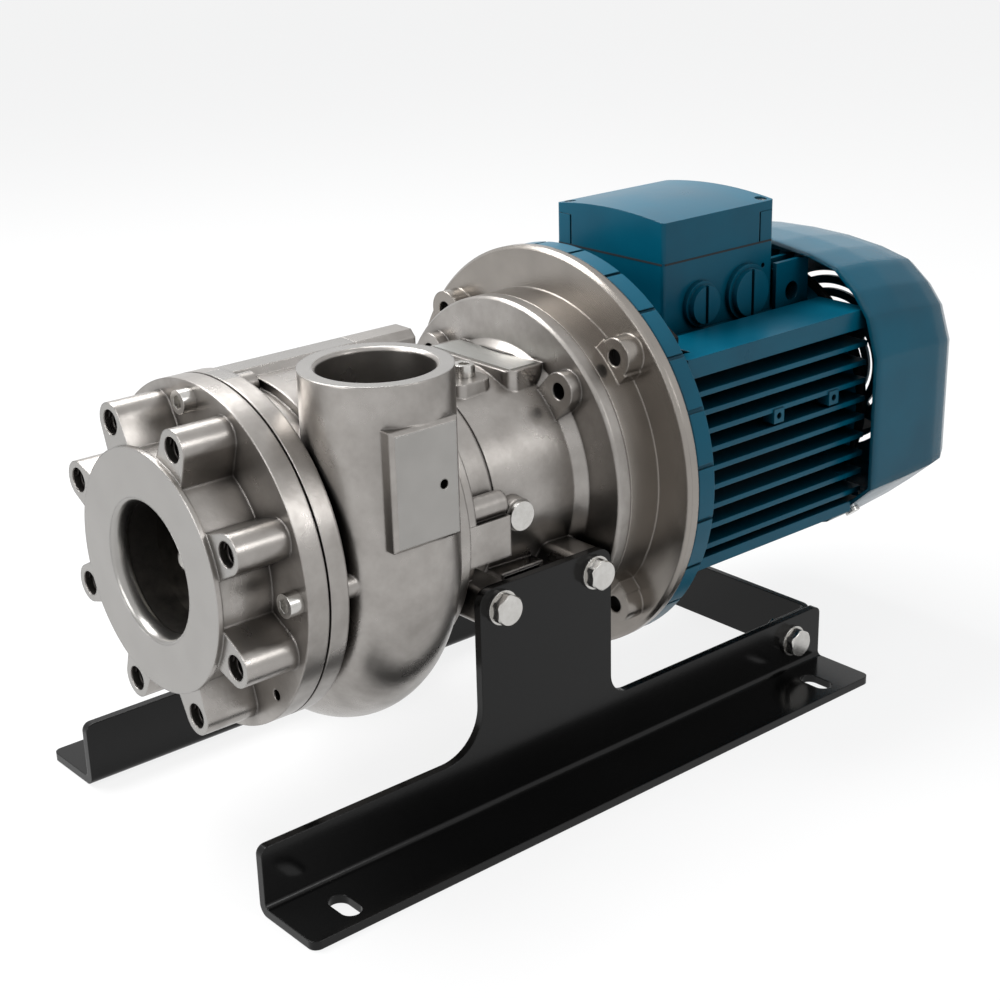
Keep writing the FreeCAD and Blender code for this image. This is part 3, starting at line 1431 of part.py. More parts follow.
def gland_plug(gland_x, radius):
    """A slotted blank plug with its collar, screwed into the near side of the box."""
    x = box_front_x + gland_x
    collar = side_rod(x, -box_half_width, gland_height, gland_collar_thickness, radius, -1)
    head = side_rod(x, -box_half_width - gland_collar_thickness, gland_height, gland_head_thickness,
                    radius * 0.84, -1)
    stem = side_rod(x, -box_half_width, gland_height, box_wall, radius * gland_thread_share, 1)
    face_y = -box_half_width - gland_collar_thickness - gland_head_thickness
    slot = block(x - gland_slot_width / 2, x + gland_slot_width / 2, face_y, face_y + gland_slot_depth,
                 gland_height - radius, gland_height + radius)
    return less(joined(collar, head, stem), slot)


def terminal_board():
    centre_x = (box_front_x + box_rear_x) / 2
    board = block(centre_x - terminal_board_length / 2, centre_x + terminal_board_length / 2,
                  -terminal_board_width / 2, terminal_board_width / 2,
                  box_floor, box_floor + terminal_board_thickness)
    studs = []
    for row in (-0.5, 0.5):
        for column in (-1, 0, 1):
            studs.append(Part.makeCylinder(terminal_stud_radius, terminal_stud_height,
                                           point(centre_x + column * terminal_stud_pitch,
                                                 row * terminal_row_pitch,
                                                 box_floor + terminal_board_thickness), Z_AXIS))
    return joined(board, studs)


# Base rails: bent sheet, foot outward, with the upright plate that holds the pump
def base_rail():
    inner = -rail_inner_y
    outer = -rail_inner_y - rail_thickness
    foot = -rail_foot_y
    z0 = -shaft_height
    leg = block(-rail_half_length, rail_half_length, outer, inner, z0, z0 + rail_leg_height)
    base = block(-rail_half_length, rail_half_length, foot, inner, z0, z0 + rail_thickness)
    angle_bar = joined(leg, base)
    heel = [edge for edge in angle_bar.Edges
            if abs(edge.CenterOfMass.y - inner) < 0.01 and abs(edge.CenterOfMass.z) < 0.01
            and edge.Length > rail_half_length]
    angle_bar = angle_bar.makeFillet(rail_bend_radius, heel)
    root = [edge for edge in angle_bar.Edges
            if abs(edge.CenterOfMass.y - outer) < 0.01
            and abs(edge.CenterOfMass.z - rail_thickness) < 0.01 and edge.Length > rail_half_length]
    angle_bar = angle_bar.makeFillet(rail_bend_radius / 2, root)
    corners = []
    for edge in angle_bar.Edges:
        middle = edge.CenterOfMass
        at_end = abs(abs(middle.x) - rail_half_length) < 0.01
        if at_end and abs(middle.y - foot) < 0.01 and abs(edge.tangentAt(edge.FirstParameter).z) > 0.9:
            corners.append(edge)
        if at_end and abs(middle.z - rail_leg_height) < 0.01:
            corners.append(edge)
    angle_bar = angle_bar.makeFillet(rail_corner_radius, corners)
    plate = side_plate(outer)
    slots = []
    for sign in (-1, 1):
        slots.append(foundation_slot(sign * slot_x))
    holes = []
    for x in (plate_bolt_first_x, plate_bolt_first_x + plate_bolt_spacing):
        holes.append(side_rod(x, outer, -plate_bolt_drop, rail_thickness,
                              bolt_radius + screw_clearance, 1))
    holes.append(side_rod(cross_bolt_x, outer, cross_bolt_height - shaft_height, rail_thickness,
                          bolt_radius + screw_clearance, 1))
    return less(joined(angle_bar, plate), slots, holes)


def side_plate(outer):
    """The upright plate: straight sides, rounded top and swept feet that run into the leg."""
    leg_top = rail_leg_height
    outline = [(side_plate_front_x - side_plate_front_fillet, leg_top),
               (side_plate_front_x, leg_top + side_plate_front_fillet),
               (side_plate_front_x, side_plate_top - side_plate_corner_radius),
               (side_plate_front_x + side_plate_corner_radius, side_plate_top),
               (side_plate_rear_x - side_plate_corner_radius, side_plate_top),
               (side_plate_rear_x, side_plate_top - side_plate_corner_radius),
               (side_plate_rear_x, leg_top + side_plate_rear_fillet),
               (side_plate_rear_x + side_plate_rear_fillet, leg_top)]
    spots = [FreeCAD.Vector(x, outer, z) for x, z in outline]

    def corner_arc(first, second, centre, radius):
        middle = (first + second) * 0.5 - centre
        middle.normalize()
        return Part.Arc(first, centre + middle * radius, second).toShape()

    front_foot = FreeCAD.Vector(side_plate_front_x - side_plate_front_fillet, outer,
                                leg_top + side_plate_front_fillet)
    rear_foot = FreeCAD.Vector(side_plate_rear_x + side_plate_rear_fillet, outer,
                               leg_top + side_plate_rear_fillet)
    front_top = FreeCAD.Vector(side_plate_front_x + side_plate_corner_radius, outer,
                               side_plate_top - side_plate_corner_radius)
    rear_top = FreeCAD.Vector(side_plate_rear_x - side_plate_corner_radius, outer,
                              side_plate_top - side_plate_corner_radius)
    low_front = FreeCAD.Vector(spots[0].x, outer, rail_thickness * 2)
    low_rear = FreeCAD.Vector(spots[7].x, outer, rail_thickness * 2)
    edges = [corner_arc(spots[0], spots[1], front_foot, side_plate_front_fillet),
             Part.makeLine(spots[1], spots[2]),
             corner_arc(spots[2], spots[3], front_top, side_plate_corner_radius),
             Part.makeLine(spots[3], spots[4]),
             corner_arc(spots[4], spots[5], rear_top, side_plate_corner_radius),
             Part.makeLine(spots[5], spots[6]),
             corner_arc(spots[6], spots[7], rear_foot, side_plate_rear_fillet),
             Part.makeLine(spots[7], low_rear), Part.makeLine(low_rear, low_front),
             Part.makeLine(low_front, spots[0])]
    return Part.Face(Part.Wire(edges)).extrude(Y_AXIS * rail_thickness)


def foundation_slot(x):
    """A slot across the rail, through the foot."""
    half_straight = (slot_length - slot_width) / 2
    middle = Part.makeBox(slot_width, 2 * half_straight, rail_thickness,
                          FreeCAD.Vector(x - slot_width / 2, -slot_y - half_straight, 0))
    ends = []
    for sign in (-1, 1):
        ends.append(Part.makeCylinder(slot_width / 2, rail_thickness,
                                      FreeCAD.Vector(x, -slot_y + sign * half_straight, 0), Z_AXIS))
    return middle.fuse(ends)


# Cross member: a strip bent into a U between the rails at the fan end
def cross_member():
    outer_y = rail_inner_y
    inner_y = rail_inner_y - cross_thickness
    rear_x = rail_half_length
    front_x = rear_x - cross_thickness
    tab_x = rear_x - cross_tab_length
    z0 = cross_floor_gap - shaft_height
    z1 = cross_height - shaft_height
    outer = block(tab_x, rear_x, -outer_y, outer_y, z0, z1)
    bends = [edge for edge in outer.Edges
             if abs(edge.CenterOfMass.x - rear_x) < 0.01 and abs(abs(edge.CenterOfMass.y) - outer_y) < 0.01]
    outer = outer.makeFillet(cross_bend_radius, bends)
    inner = block(tab_x - 1.0, front_x, -inner_y, inner_y, z0, z1)
    inner_bends = [edge for edge in inner.Edges
                   if abs(edge.CenterOfMass.x - front_x) < 0.01
                   and abs(abs(edge.CenterOfMass.y) - inner_y) < 0.01]
    inner = inner.makeFillet(cross_bend_radius - cross_thickness, inner_bends)
    strip = outer.cut(inner)
    tips = [edge for edge in strip.Edges
            if abs(edge.CenterOfMass.x - tab_x) < 0.01
            and abs(edge.CenterOfMass.z - cross_height) < 0.01]
    strip = strip.makeFillet(cross_tab_corner, tips)
    holes = []
    for side in (-1, 1):
        holes.append(side_rod(cross_bolt_x, side * outer_y, cross_bolt_height - shaft_height,
                              cross_thickness, bolt_radius + screw_clearance, -side))
    return strip.cut(holes)


def hex_bolt(x, z, side, face_y, length):
    """A hexagon bolt whose head rests at face_y, pointing inward."""
    head = hexagon(point(x, side * face_y, z), bolt_flats, bolt_head_height, Y_AXIS * side)
    crown = side_rod(x, side * face_y, z, bolt_head_height, bolt_flats * 0.54, side)
    crown_edge = [edge for edge in crown.Edges
                  if abs(edge.CenterOfMass.y - side * (face_y + bolt_head_height)) < 0.01]
    crown = crown.makeChamfer(1.0, crown_edge)
    shank = side_rod(x, side * face_y, z, length, bolt_radius, -side)
    return joined(head.common(crown), shank)


def washer(x, z, side, face_y):
    disc = side_rod(x, side * face_y, z, bolt_washer_thickness, bolt_washer_radius, side)
    return disc.cut(side_rod(x, side * face_y, z, bolt_washer_thickness,
                             bolt_radius + screw_clearance, side))


def plate_bolt_places():
    places = []
    for side in (-1, 1):
        for x in (plate_bolt_first_x, plate_bolt_first_x + plate_bolt_spacing):
            places.append((x, -plate_bolt_drop, side))
    return places


def plate_bolts():
    face_y = rail_inner_y + rail_thickness + bolt_washer_thickness
    return Part.makeCompound([hex_bolt(x, z, side, face_y, plate_bolt_length)
                              for x, z, side in plate_bolt_places()])


def plate_washers():
    face_y = rail_inner_y + rail_thickness
    return Part.makeCompound([washer(x, z, side, face_y) for x, z, side in plate_bolt_places()])


def cross_bolt_places():
    return [(cross_bolt_x, cross_bolt_height - shaft_height, side) for side in (-1, 1)]


def cross_bolts():
    face_y = rail_inner_y + rail_thickness + bolt_washer_thickness
    length = bolt_washer_thickness + rail_thickness + cross_thickness + nut_height + 2.0
    return Part.makeCompound([hex_bolt(x, z, side, face_y, length) for x, z, side in cross_bolt_places()])


def cross_washers():
    face_y = rail_inner_y + rail_thickness
    return Part.makeCompound([washer(x, z, side, face_y) for x, z, side in cross_bolt_places()])


def cross_nuts():
    nuts = []
    face_y = rail_inner_y - cross_thickness
    for x, z, side in cross_bolt_places():
        nut = hexagon(point(x, side * face_y, z), bolt_flats, nut_height, Y_AXIS * -side)
        hole = side_rod(x, side * face_y, z, nut_height, bolt_radius + thread_clearance, -side)
        nuts.append(nut.cut(hole))
    return Part.makeCompound(nuts)


def build_nodes():
    near_rail = base_rail()
    drive = (drive_bearing_x, drive_bearing_width, drive_bearing_bore_radius, drive_bearing_outer_radius)
    fan_end = (fan_bearing_x, fan_bearing_width, fan_bearing_bore_radius, fan_bearing_outer_radius)
    return {
        "suction_cover": suction_cover(),
        "cover_screws": cover_screws(),
        "cover_o_ring": torus(cover_rear_x - ring_section_radius, cover_ring_radius, ring_section_radius),
        "wear_liner": wear_liner(),
        "casing_o_ring": torus(cover_rear_x + ring_section_radius, casing_ring_radius,
                               ring_section_radius),
        "volute_casing": volute_casing(),
        "screw_impeller": screw_impeller(),
        "impeller_screw": impeller_screw(),
        "impeller_key": impeller_key(),
        "seal_housing": seal_housing(),
        "housing_screws": housing_screws(),
        "seal_seat": seal_seat(),
        "seal_face": seal_face(),
        "seal_body": seal_body(),
        "seal_spring": seal_spring(),
        "bracket": bracket(),
        "name_plate": name_plate(),
        "port_plug": port_plug(),
        "side_port_plug": side_port_plug(),
        "adapter_ring": adapter_ring(),
        "adapter_screws": adapter_screws(),
        "drive_shield": drive_shield(),
        "motor_screws": motor_screws(),
        "lip_seal": lip_seal(),
        "motor_frame": motor_frame(),
        "stator_core": stator_core(),
        "stator_windings": stator_windings(),
        "rotor": rotor(),
        "shaft": shaft(),
        "drive_bearing_outer": bearing_ring_outer(*drive),
        "drive_bearing_inner": bearing_ring_inner(*drive),
        "drive_bearing_balls": bearing_balls(*drive),
        "fan_bearing_outer": bearing_ring_outer(*fan_end),
        "fan_bearing_inner": bearing_ring_inner(*fan_end),
        "fan_bearing_balls": bearing_balls(*fan_end),
        "rear_shield": rear_shield(),
        "cooling_fan": cooling_fan(),
        "fan_cowl": fan_cowl(),
        "cowl_screws": cowl_screws(),
        "terminal_box": terminal_box(),
        "terminal_lid": terminal_lid(),
        "lid_screws": lid_screws(),
        "gland_plug_small": gland_plug(small_gland_x, small_gland_radius),
        "gland_plug_large": gland_plug(large_gland_x, large_gland_radius),
        "terminal_board": terminal_board(),
        "rail_near": near_rail,
        "rail_far": mirrored(near_rail),
        "cross_member": cross_member(),
        "plate_bolts": plate_bolts(),
        "plate_washers": plate_washers(),
        "cross_bolts": cross_bolts(),
        "cross_washers": cross_washers(),
        "cross_nuts": cross_nuts(),
    }


os.makedirs("parts", exist_ok=True)
for name, shape in build_nodes().items():
    if not shape.isValid() or shape.Volume <= 0:
        print("check", name, "valid", shape.isValid(), "volume", round(shape.Volume, 1))
    shape.exportStep("parts/" + name + ".step")
    print(name, "solids", len(shape.Solids), "volume", round(shape.Volume))
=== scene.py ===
import bmesh
import bpy
import math
from mathutils import Matrix, Vector


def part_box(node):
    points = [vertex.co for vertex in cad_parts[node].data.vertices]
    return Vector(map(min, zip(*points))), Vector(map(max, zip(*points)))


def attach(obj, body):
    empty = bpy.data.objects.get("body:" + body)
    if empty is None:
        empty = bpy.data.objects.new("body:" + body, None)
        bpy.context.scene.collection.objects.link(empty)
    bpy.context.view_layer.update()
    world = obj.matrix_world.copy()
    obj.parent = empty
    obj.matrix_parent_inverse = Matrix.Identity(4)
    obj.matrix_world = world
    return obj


# Screw centrifugal pump on two bent rails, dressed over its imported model. Metres, shaft along X, Z up.
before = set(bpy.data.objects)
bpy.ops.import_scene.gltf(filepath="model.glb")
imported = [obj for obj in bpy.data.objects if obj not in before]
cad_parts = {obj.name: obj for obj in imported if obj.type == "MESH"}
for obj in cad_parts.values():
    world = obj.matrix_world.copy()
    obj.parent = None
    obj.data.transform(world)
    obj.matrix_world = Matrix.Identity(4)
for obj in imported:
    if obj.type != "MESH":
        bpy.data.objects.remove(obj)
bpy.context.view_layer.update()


# Camera at the photograph's angle
# A 65 mm lens in front of the suction mouth, a little above it, looking down at 21 degrees.
yaw, pitch, roll = 0.7011542691, -0.3640944778, -0.0259658310
camera_spot = (-0.63605, -0.78425, 0.53064)
film_width = 36.0
focal_pixels = 1810.78
photo_pixels = 1000
ahead = Vector((math.sin(yaw) * math.cos(pitch), math.cos(yaw) * math.cos(pitch), math.sin(pitch)))
level = Vector((math.cos(yaw), -math.sin(yaw), 0.0))
upright = level.cross(ahead)
right = math.cos(roll) * level + math.sin(roll) * upright
up = -math.sin(roll) * level + math.cos(roll) * upright
camera_data = bpy.data.cameras.new("photo_camera")
camera_data.sensor_width = film_width
camera_data.lens = focal_pixels * film_width / photo_pixels
camera_data.clip_start = 0.05
camera_data.clip_end = 60.0
camera = bpy.data.objects.new("photo_camera", camera_data)
place = Matrix((right, up, -ahead)).transposed().to_4x4()
place.translation = Vector(camera_spot)
camera.matrix_world = place
bpy.context.scene.collection.objects.link(camera)
bpy.context.scene.camera = camera


# Pale studio: a white paper floor, a white surround and three large soft lamps
# The floor and the surround show white to the eye and in the metal, and light the pump at a plain level.
def linear(hex_colour):
    """An sRGB hex colour as linear light with full alpha."""
    channels = [int(hex_colour[start:start + 2], 16) / 255 for start in (1, 3, 5)]
    return [c / 12.92 if c <= 0.04045 else ((c + 0.055) / 1.055) ** 2.4 for c in channels] + [1.0]


def add(tree, kind, settings=None, links=None):
    """Adds a shader node, sets its properties or sockets and links its inputs."""
    made = tree.nodes.new("ShaderNode" + kind)
    for name, value in (settings or {}).items():
        if isinstance(name, str) and hasattr(made, name):
            setattr(made, name, value)
        else:
            made.inputs[name].default_value = value
    for name, source in (links or {}).items():
        tree.links.new(source, made.inputs[name])
    return made


def seen_or_mirrored(tree):
    """1 where a ray comes from the eye or was reflected or passed on by a shiny surface."""
    path = add(tree, "LightPath")
    shiny = add(tree, "Math", {"operation": "MAXIMUM"},
                {0: path.outputs["Is Glossy Ray"], 1: path.outputs["Is Transmission Ray"]})
    return add(tree, "Math", {"operation": "MAXIMUM"},
               {0: path.outputs["Is Camera Ray"], 1: shiny.outputs[0]}).outputs[0]


surround = bpy.data.worlds.new("studio_surround")
bpy.context.scene.world = surround
surround.use_nodes = True
tree = surround.node_tree
tree.nodes.clear()
ambient = add(tree, "Background", {"Color": linear("#e9edf0"), "Strength": 0.42})
white = add(tree, "Background", {"Color": linear("#fbfbfb"), "Strength": 1.0})
mixed = add(tree, "MixShader", {}, {0: seen_or_mirrored(tree), 1: ambient.outputs[0], 2: white.outputs[0]})
add(tree, "OutputWorld", {}, {"Surface": mixed.outputs[0]})

floor_material = bpy.data.materials.new("studio_floor")
floor_material.use_nodes = True
tree = floor_material.node_tree
tree.nodes.clear()
matt = add(tree, "BsdfDiffuse", {"Color": linear("#d8d8d6")})
shadowed = add(tree, "BsdfDiffuse", {"Color": linear("#6c6c6c")})
glow = add(tree, "Emission", {"Color": linear("#ffffff"), "Strength": 0.84})
shown = add(tree, "AddShader", {}, {0: shadowed.outputs[0], 1: glow.outputs[0]})
mixed = add(tree, "MixShader", {}, {0: seen_or_mirrored(tree), 1: matt.outputs[0], 2: shown.outputs[0]})
add(tree, "OutputMaterial", {}, {"Surface": mixed.outputs[0]})
# The paper lies half a millimetre under the feet, so that the two surfaces never share a plane.
floor_size = 30.0
floor_drop = 0.0005
bpy.ops.mesh.primitive_plane_add(size=floor_size, location=(0, 0, -floor_drop))
floor = bpy.context.object
floor.name = "studio_floor"
floor.data.materials.append(floor_material)


def softbox(name, spot, aim, width, height, watts):
    """A rectangular lamp at spot, turned to aim."""
    data = bpy.data.lights.new(name, "AREA")
    data.shape = "RECTANGLE"
    data.size = width
    data.size_y = height
    data.energy = watts
    lamp = bpy.data.objects.new(name, data)
    lamp.location = spot
    lamp.rotation_euler = (Vector(aim) - Vector(spot)).to_track_quat("-Z", "Y").to_euler()
    bpy.context.scene.collection.objects.link(lamp)


softbox("top_softbox", (-0.15, 0.75, 1.45), (0, 0, 0.16), 1.4, 0.8, 40.0)
softbox("left_softbox", (-1.7, -0.1, 0.8), (-0.1, 0, 0.16), 0.6, 1.0, 12.0)
softbox("front_softbox", (0.5, -1.7, 1.2), (0.05, 0, 0.16), 0.8, 0.6, 8.0)


# Stainless castings: suction cover, volute casing, seal housing and bracket
# Cast austenitic stainless steel, bead blasted and passivated: an even satin grey with a fine
# grain, slightly cloudy, with soft rounded cast edges; the machined faces are brighter and show rings.
shaft_z = 0.164
# Bead marks are about 0.1 mm and a fine feed about 0.15 mm; both are drawn coarser so that they show.
bead_mark = 0.0007
turning_feed = 0.0009
# The finish drifts from matt to satin over some 30 mm, and the mould left swells of about 12 mm.
finish_drift = 0.030
mould_swell = 0.012
swell_share = 5.0
# Machined faces have patches of about 20 mm and shallow rings; flat is within 6 degrees of an axis.
cut_patch = 0.020
ring_share = 0.4
flat_enough = 0.995
# Corners darken within 10 mm: painted shade.
cast_shade_reach = 0.010


def start_material(name):
    """A new material with its surface shader and its object coordinates."""
    material = bpy.data.materials.new(name)
    material.use_nodes = True
    tree = material.node_tree
    tree.nodes.clear()
    shader = add(tree, "BsdfPrincipled")
    add(tree, "OutputMaterial", {}, {"Surface": shader.outputs[0]})
    coordinates = add(tree, "TexCoord")
    return material, tree, shader, coordinates


def turned_rings(tree, vector, axis, centre, pitch):
    """Lathe rings about an axis through centre, one to each pitch."""
    moved = add(tree, "Mapping", {"Location": [-c for c in centre]}, {"Vector": vector})
    rings = add(tree, "TexWave", {"wave_type": "RINGS", "rings_direction": axis,
                                  "Scale": 2 * math.pi / (20 * pitch), "Distortion": 0.0},
                {"Vector": moved.outputs[0]})
    return rings.outputs["Fac"]


def flat_faces(tree, coordinates, axis, sign, limit):
    """1 on the flat faces that look along an axis and lie beyond limit in that direction."""
    normal = add(tree, "SeparateXYZ", {}, {"Vector": coordinates.outputs["Normal"]})
    spot = add(tree, "SeparateXYZ", {}, {"Vector": coordinates.outputs["Object"]})
    column = "XYZ".index(axis)
    turned = add(tree, "Math", {"operation": "MULTIPLY", 1: sign}, {0: normal.outputs[column]})
    reach = add(tree, "Math", {"operation": "MULTIPLY", 1: sign}, {0: spot.outputs[column]})
    level_face = add(tree, "Math", {"operation": "GREATER_THAN", 1: flat_enough}, {0: turned.outputs[0]})
    outer_face = add(tree, "Math", {"operation": "GREATER_THAN", 1: sign * limit}, {0: reach.outputs[0]})
    return add(tree, "Math", {"operation": "MULTIPLY"},
               {0: level_face.outputs[0], 1: outer_face.outputs[0]}).outputs[0]


def any_of(tree, masks):
    """1 where one of the masks is 1."""
    joined = masks[0]
    for mask in masks[1:]:
        joined = add(tree, "Math", {"operation": "MAXIMUM"}, {0: joined, 1: mask}).outputs[0]
    return joined


def blasted_stainless(name, ring_axis, ring_centre, machined_faces, edge=0.0016,
                      shade=("#8c8884", "#a8a4a0"), cut_shade=("#92908d", "#a19f9c")):
    """Blasted stainless casting with painted shade in its corners, bright and turned where
    machined_faces(tree, coordinates) is 1.
    """
    material, tree, shader, coordinates = start_material(name)
    vector = coordinates.outputs["Object"]
    drift = add(tree, "TexNoise", {"Scale": 1 / finish_drift, "Detail": 4.0, "Roughness": 0.6},
                {"Vector": vector})
    drift = add(tree, "MapRange", {"From Min": 0.3, "From Max": 0.7}, {"Value": drift.outputs["Fac"]})
    beads = add(tree, "TexNoise", {"Scale": 1 / bead_mark, "Detail": 2.0}, {"Vector": vector})
    swell = add(tree, "TexNoise", {"Scale": 1 / mould_swell, "Detail": 3.0}, {"Vector": vector})
    colour = add(tree, "Mix", {"data_type": "RGBA", 6: linear(shade[0]), 7: linear(shade[1])},
                 {0: drift.outputs[0]}).outputs[2]
    roughness = add(tree, "Mix", {2: 0.35, 3: 0.25}, {0: drift.outputs[0]}).outputs[0]
    height = add(tree, "Math", {"operation": "MULTIPLY_ADD", 1: swell_share},
                 {0: swell.outputs["Fac"], 2: beads.outputs["Fac"]}).outputs[0]
    # Painted shade: the colour darkens towards a dark grey in corners and hollows within 10 mm.
    corner_shade = add(tree, "AmbientOcclusion", {"samples": 6, "Distance": cast_shade_reach})
    corner_shade = add(tree, "MapRange", {"From Min": 0.25, "From Max": 0.85}, {"Value": corner_shade.outputs["AO"]})
    colour = add(tree, "Mix", {"data_type": "RGBA", 6: linear("#403d3b")},
                 {0: corner_shade.outputs[0], 7: colour}).outputs[2]
    if machined_faces:
        mask = machined_faces(tree, coordinates)
        rings = turned_rings(tree, vector, ring_axis, ring_centre, turning_feed)
        patches = add(tree, "TexNoise", {"Scale": 1 / cut_patch, "Detail": 3.0}, {"Vector": vector})
        bright = add(tree, "Mix", {"data_type": "RGBA", 6: linear(cut_shade[0]), 7: linear(cut_shade[1])},
                     {0: patches.outputs["Fac"]})
        colour = add(tree, "Mix", {"data_type": "RGBA"},
                     {0: mask, 6: colour, 7: bright.outputs[2]}).outputs[2]
        roughness = add(tree, "Mix", {3: 0.27}, {0: mask, 2: roughness}).outputs[0]
        shallow = add(tree, "Math", {"operation": "MULTIPLY", 1: ring_share}, {0: rings})
        height = add(tree, "Mix", {}, {0: mask, 2: height, 3: shallow.outputs[0]}).outputs[0]
    soft_edge = add(tree, "Bevel", {"samples": 4, "Radius": edge})
    bump = add(tree, "Bump", {"Strength": 0.32, "Distance": 0.00012},
               {"Height": height, "Normal": soft_edge.outputs[0]})
    shader.inputs["Metallic"].default_value = 1.0
    tree.links.new(colour, shader.inputs["Base Color"])
    tree.links.new(roughness, shader.inputs["Roughness"])
    tree.links.new(bump.outputs[0], shader.inputs["Normal"])
    return material


def dress(material, *nodes):
    """Gives the material to every slot of the named CAD nodes."""
    for name in nodes:
        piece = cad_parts[name]
        if not piece.material_slots:
            piece.data.materials.append(material)
        for slot in piece.material_slots:
            slot.material = material


# Where the machined faces begin, and the radius that holds the wall of the mouth.
suction_side_x = -0.200
mouth_wall_radius = 0.0405
nozzle_top_z = 0.2560
pad_front_y = -0.1120
nozzle_axis = (-0.114, -0.071, 0)


def suction_faces(tree, coordinates):
    """The raised face, the boss ends and the wall of the suction mouth."""
    across = add(tree, "Mapping", {"Location": (0, 0, -shaft_z), "Scale": (0, 1, 1)},
                 {"Vector": coordinates.outputs["Object"]})
    radius = add(tree, "VectorMath", {"operation": "LENGTH"}, {0: across.outputs[0]})
    mouth = add(tree, "Math", {"operation": "LESS_THAN", 1: mouth_wall_radius}, {0: radius.outputs["Value"]})
    return any_of(tree, [flat_faces(tree, coordinates, "X", -1, suction_side_x), mouth.outputs[0]])


def nozzle_and_pad(tree, coordinates):
    """The rim of the discharge, the gauge pad and the top of the rib."""
    return any_of(tree, [flat_faces(tree, coordinates, "Z", 1, nozzle_top_z),
                         flat_faces(tree, coordinates, "Y", -1, pad_front_y)])


cover_stainless = blasted_stainless("blasted_stainless_cover", "X", (0, 0, shaft_z), suction_faces,
                                    cut_shade=("#999794", "#a5a3a0"))
volute_stainless = blasted_stainless("blasted_stainless_volute", "Z", nozzle_axis, nozzle_and_pad)
plain_stainless = blasted_stainless("blasted_stainless_bracket", "X", (0, 0, shaft_z), None)
dress(cover_stainless, "suction_cover")
dress(volute_stainless, "volute_casing")
dress(plain_stainless, "seal_housing", "bracket")


# Impeller, cast in one piece with its spiral vane and ground by hand
# The same stainless steel, finished finer than the castings because the pumped liquid runs over it.
impeller_stainless = blasted_stainless("ground_stainless_impeller", "X", (0, 0, shaft_z), None, 0.0010,
                                       ("#8d8a85", "#a5a29c"))
dress(impeller_stainless, "screw_impeller")


# Wear liner, a replaceable cone clamped behind the suction cover
# Hardened chromium cast iron, nearly matt and grainy; its dark colour is partly the iron's own and partly
# painted shade of the deep mouth.
chill_patch = 0.008
sand_grain = 0.0008
liner_iron, tree, shader, coordinates = start_material("chromium_cast_iron")
patches = add(tree, "TexNoise", {"Scale": 1 / chill_patch, "Detail": 4.0},
              {"Vector": coordinates.outputs["Object"]})
patches = add(tree, "MapRange", {"From Min": 0.3, "From Max": 0.7}, {"Value": patches.outputs["Fac"]})
grain = add(tree, "TexNoise", {"Scale": 1 / sand_grain, "Detail": 2.0},
            {"Vector": coordinates.outputs["Object"]})
bump = add(tree, "Bump", {"Strength": 0.5, "Distance": 0.0002}, {"Height": grain.outputs["Fac"]})
# Partly painted shade: the iron is coloured darker than its own grey, standing in for the shade inside the
# mouth.
iron = add(tree, "Mix", {"data_type": "RGBA", 6: linear("#343230"), 7: linear("#484542")},
           {0: patches.outputs[0]})
matt = add(tree, "Mix", {2: 0.62, 3: 0.50}, {0: patches.outputs[0]})
shader.inputs["Metallic"].default_value = 1.0
tree.links.new(iron.outputs[2], shader.inputs["Base Color"])
tree.links.new(matt.outputs[0], shader.inputs["Roughness"])
tree.links.new(bump.outputs[0], shader.inputs["Normal"])
dress(liner_iron, "wear_liner")


# Tapped holes of the suction face
# M16 threads cut into the eight bosses; the turns are drawn at their true 2 mm pitch.
boss_count = 8
boss_circle_radius = 0.080
thread_radius = 0.00702
thread_start_x = -0.2085
thread_pitch = 0.002
thread_depth = 0.0008
thread_turns = 10
thread_steps = 28
# Half widths of the ridge at its foot and its crest, as shares of the pitch.
thread_foot = 0.42
thread_crest = 0.08


def thread_coil(mesh, spot, radius, start_x, turns, pitch, depth):
    """A ridge that winds inside a hole along X, with its crest towards the middle."""
    rows = []
    for step in range(turns * thread_steps + 1):
        angle = 2 * math.pi * step / thread_steps
        x = start_x + pitch * step / thread_steps
        row = []
        for shift, reach in ((-thread_foot, radius), (-thread_crest, radius - depth),
                             (thread_crest, radius - depth), (thread_foot, radius)):
            row.append(mesh.verts.new((x + shift * pitch, spot[0] + reach * math.cos(angle),
                                       spot[1] + reach * math.sin(angle))))
        rows.append(row)
    for first, second in zip(rows, rows[1:]):
        for k in range(3):
            mesh.faces.new((first[k], first[k + 1], second[k + 1], second[k]))
        mesh.faces.new((first[3], first[0], second[0], second[3]))
    mesh.faces.new(rows[0][::-1])
    mesh.faces.new(rows[-1])


def finish_piece(name, mesh, material, smooth=True, body="housing"):
    """Turns a bmesh into a piece that rides on the pump and carries the given material."""
    bmesh.ops.recalc_face_normals(mesh, faces=mesh.faces)
    data = bpy.data.meshes.new(name)
    mesh.to_mesh(data)
    mesh.free()
    for face in data.polygons:
        face.use_smooth = smooth
    piece = bpy.data.objects.new(name, data)
    bpy.context.scene.collection.objects.link(piece)
    data.materials.append(material)
    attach(piece, body)


threads = bmesh.new()
for index in range(boss_count):
    angle = math.radians((index + 0.5) * 360.0 / boss_count)
    spot = (boss_circle_radius * math.sin(angle), shaft_z + boss_circle_radius * math.cos(angle))
    thread_coil(threads, spot, thread_radius, thread_start_x, thread_turns, thread_pitch, thread_depth)
# The stainless threads are coloured nearly black: painted shade inside the tapped holes.
thread_shade_stainless = blasted_stainless("threads_painted_shade", "X", (0, 0, shaft_z), None, 0.0003,
                                  ("#2b2a29", "#383735"))
finish_piece("suction_threads", threads, thread_shade_stainless)


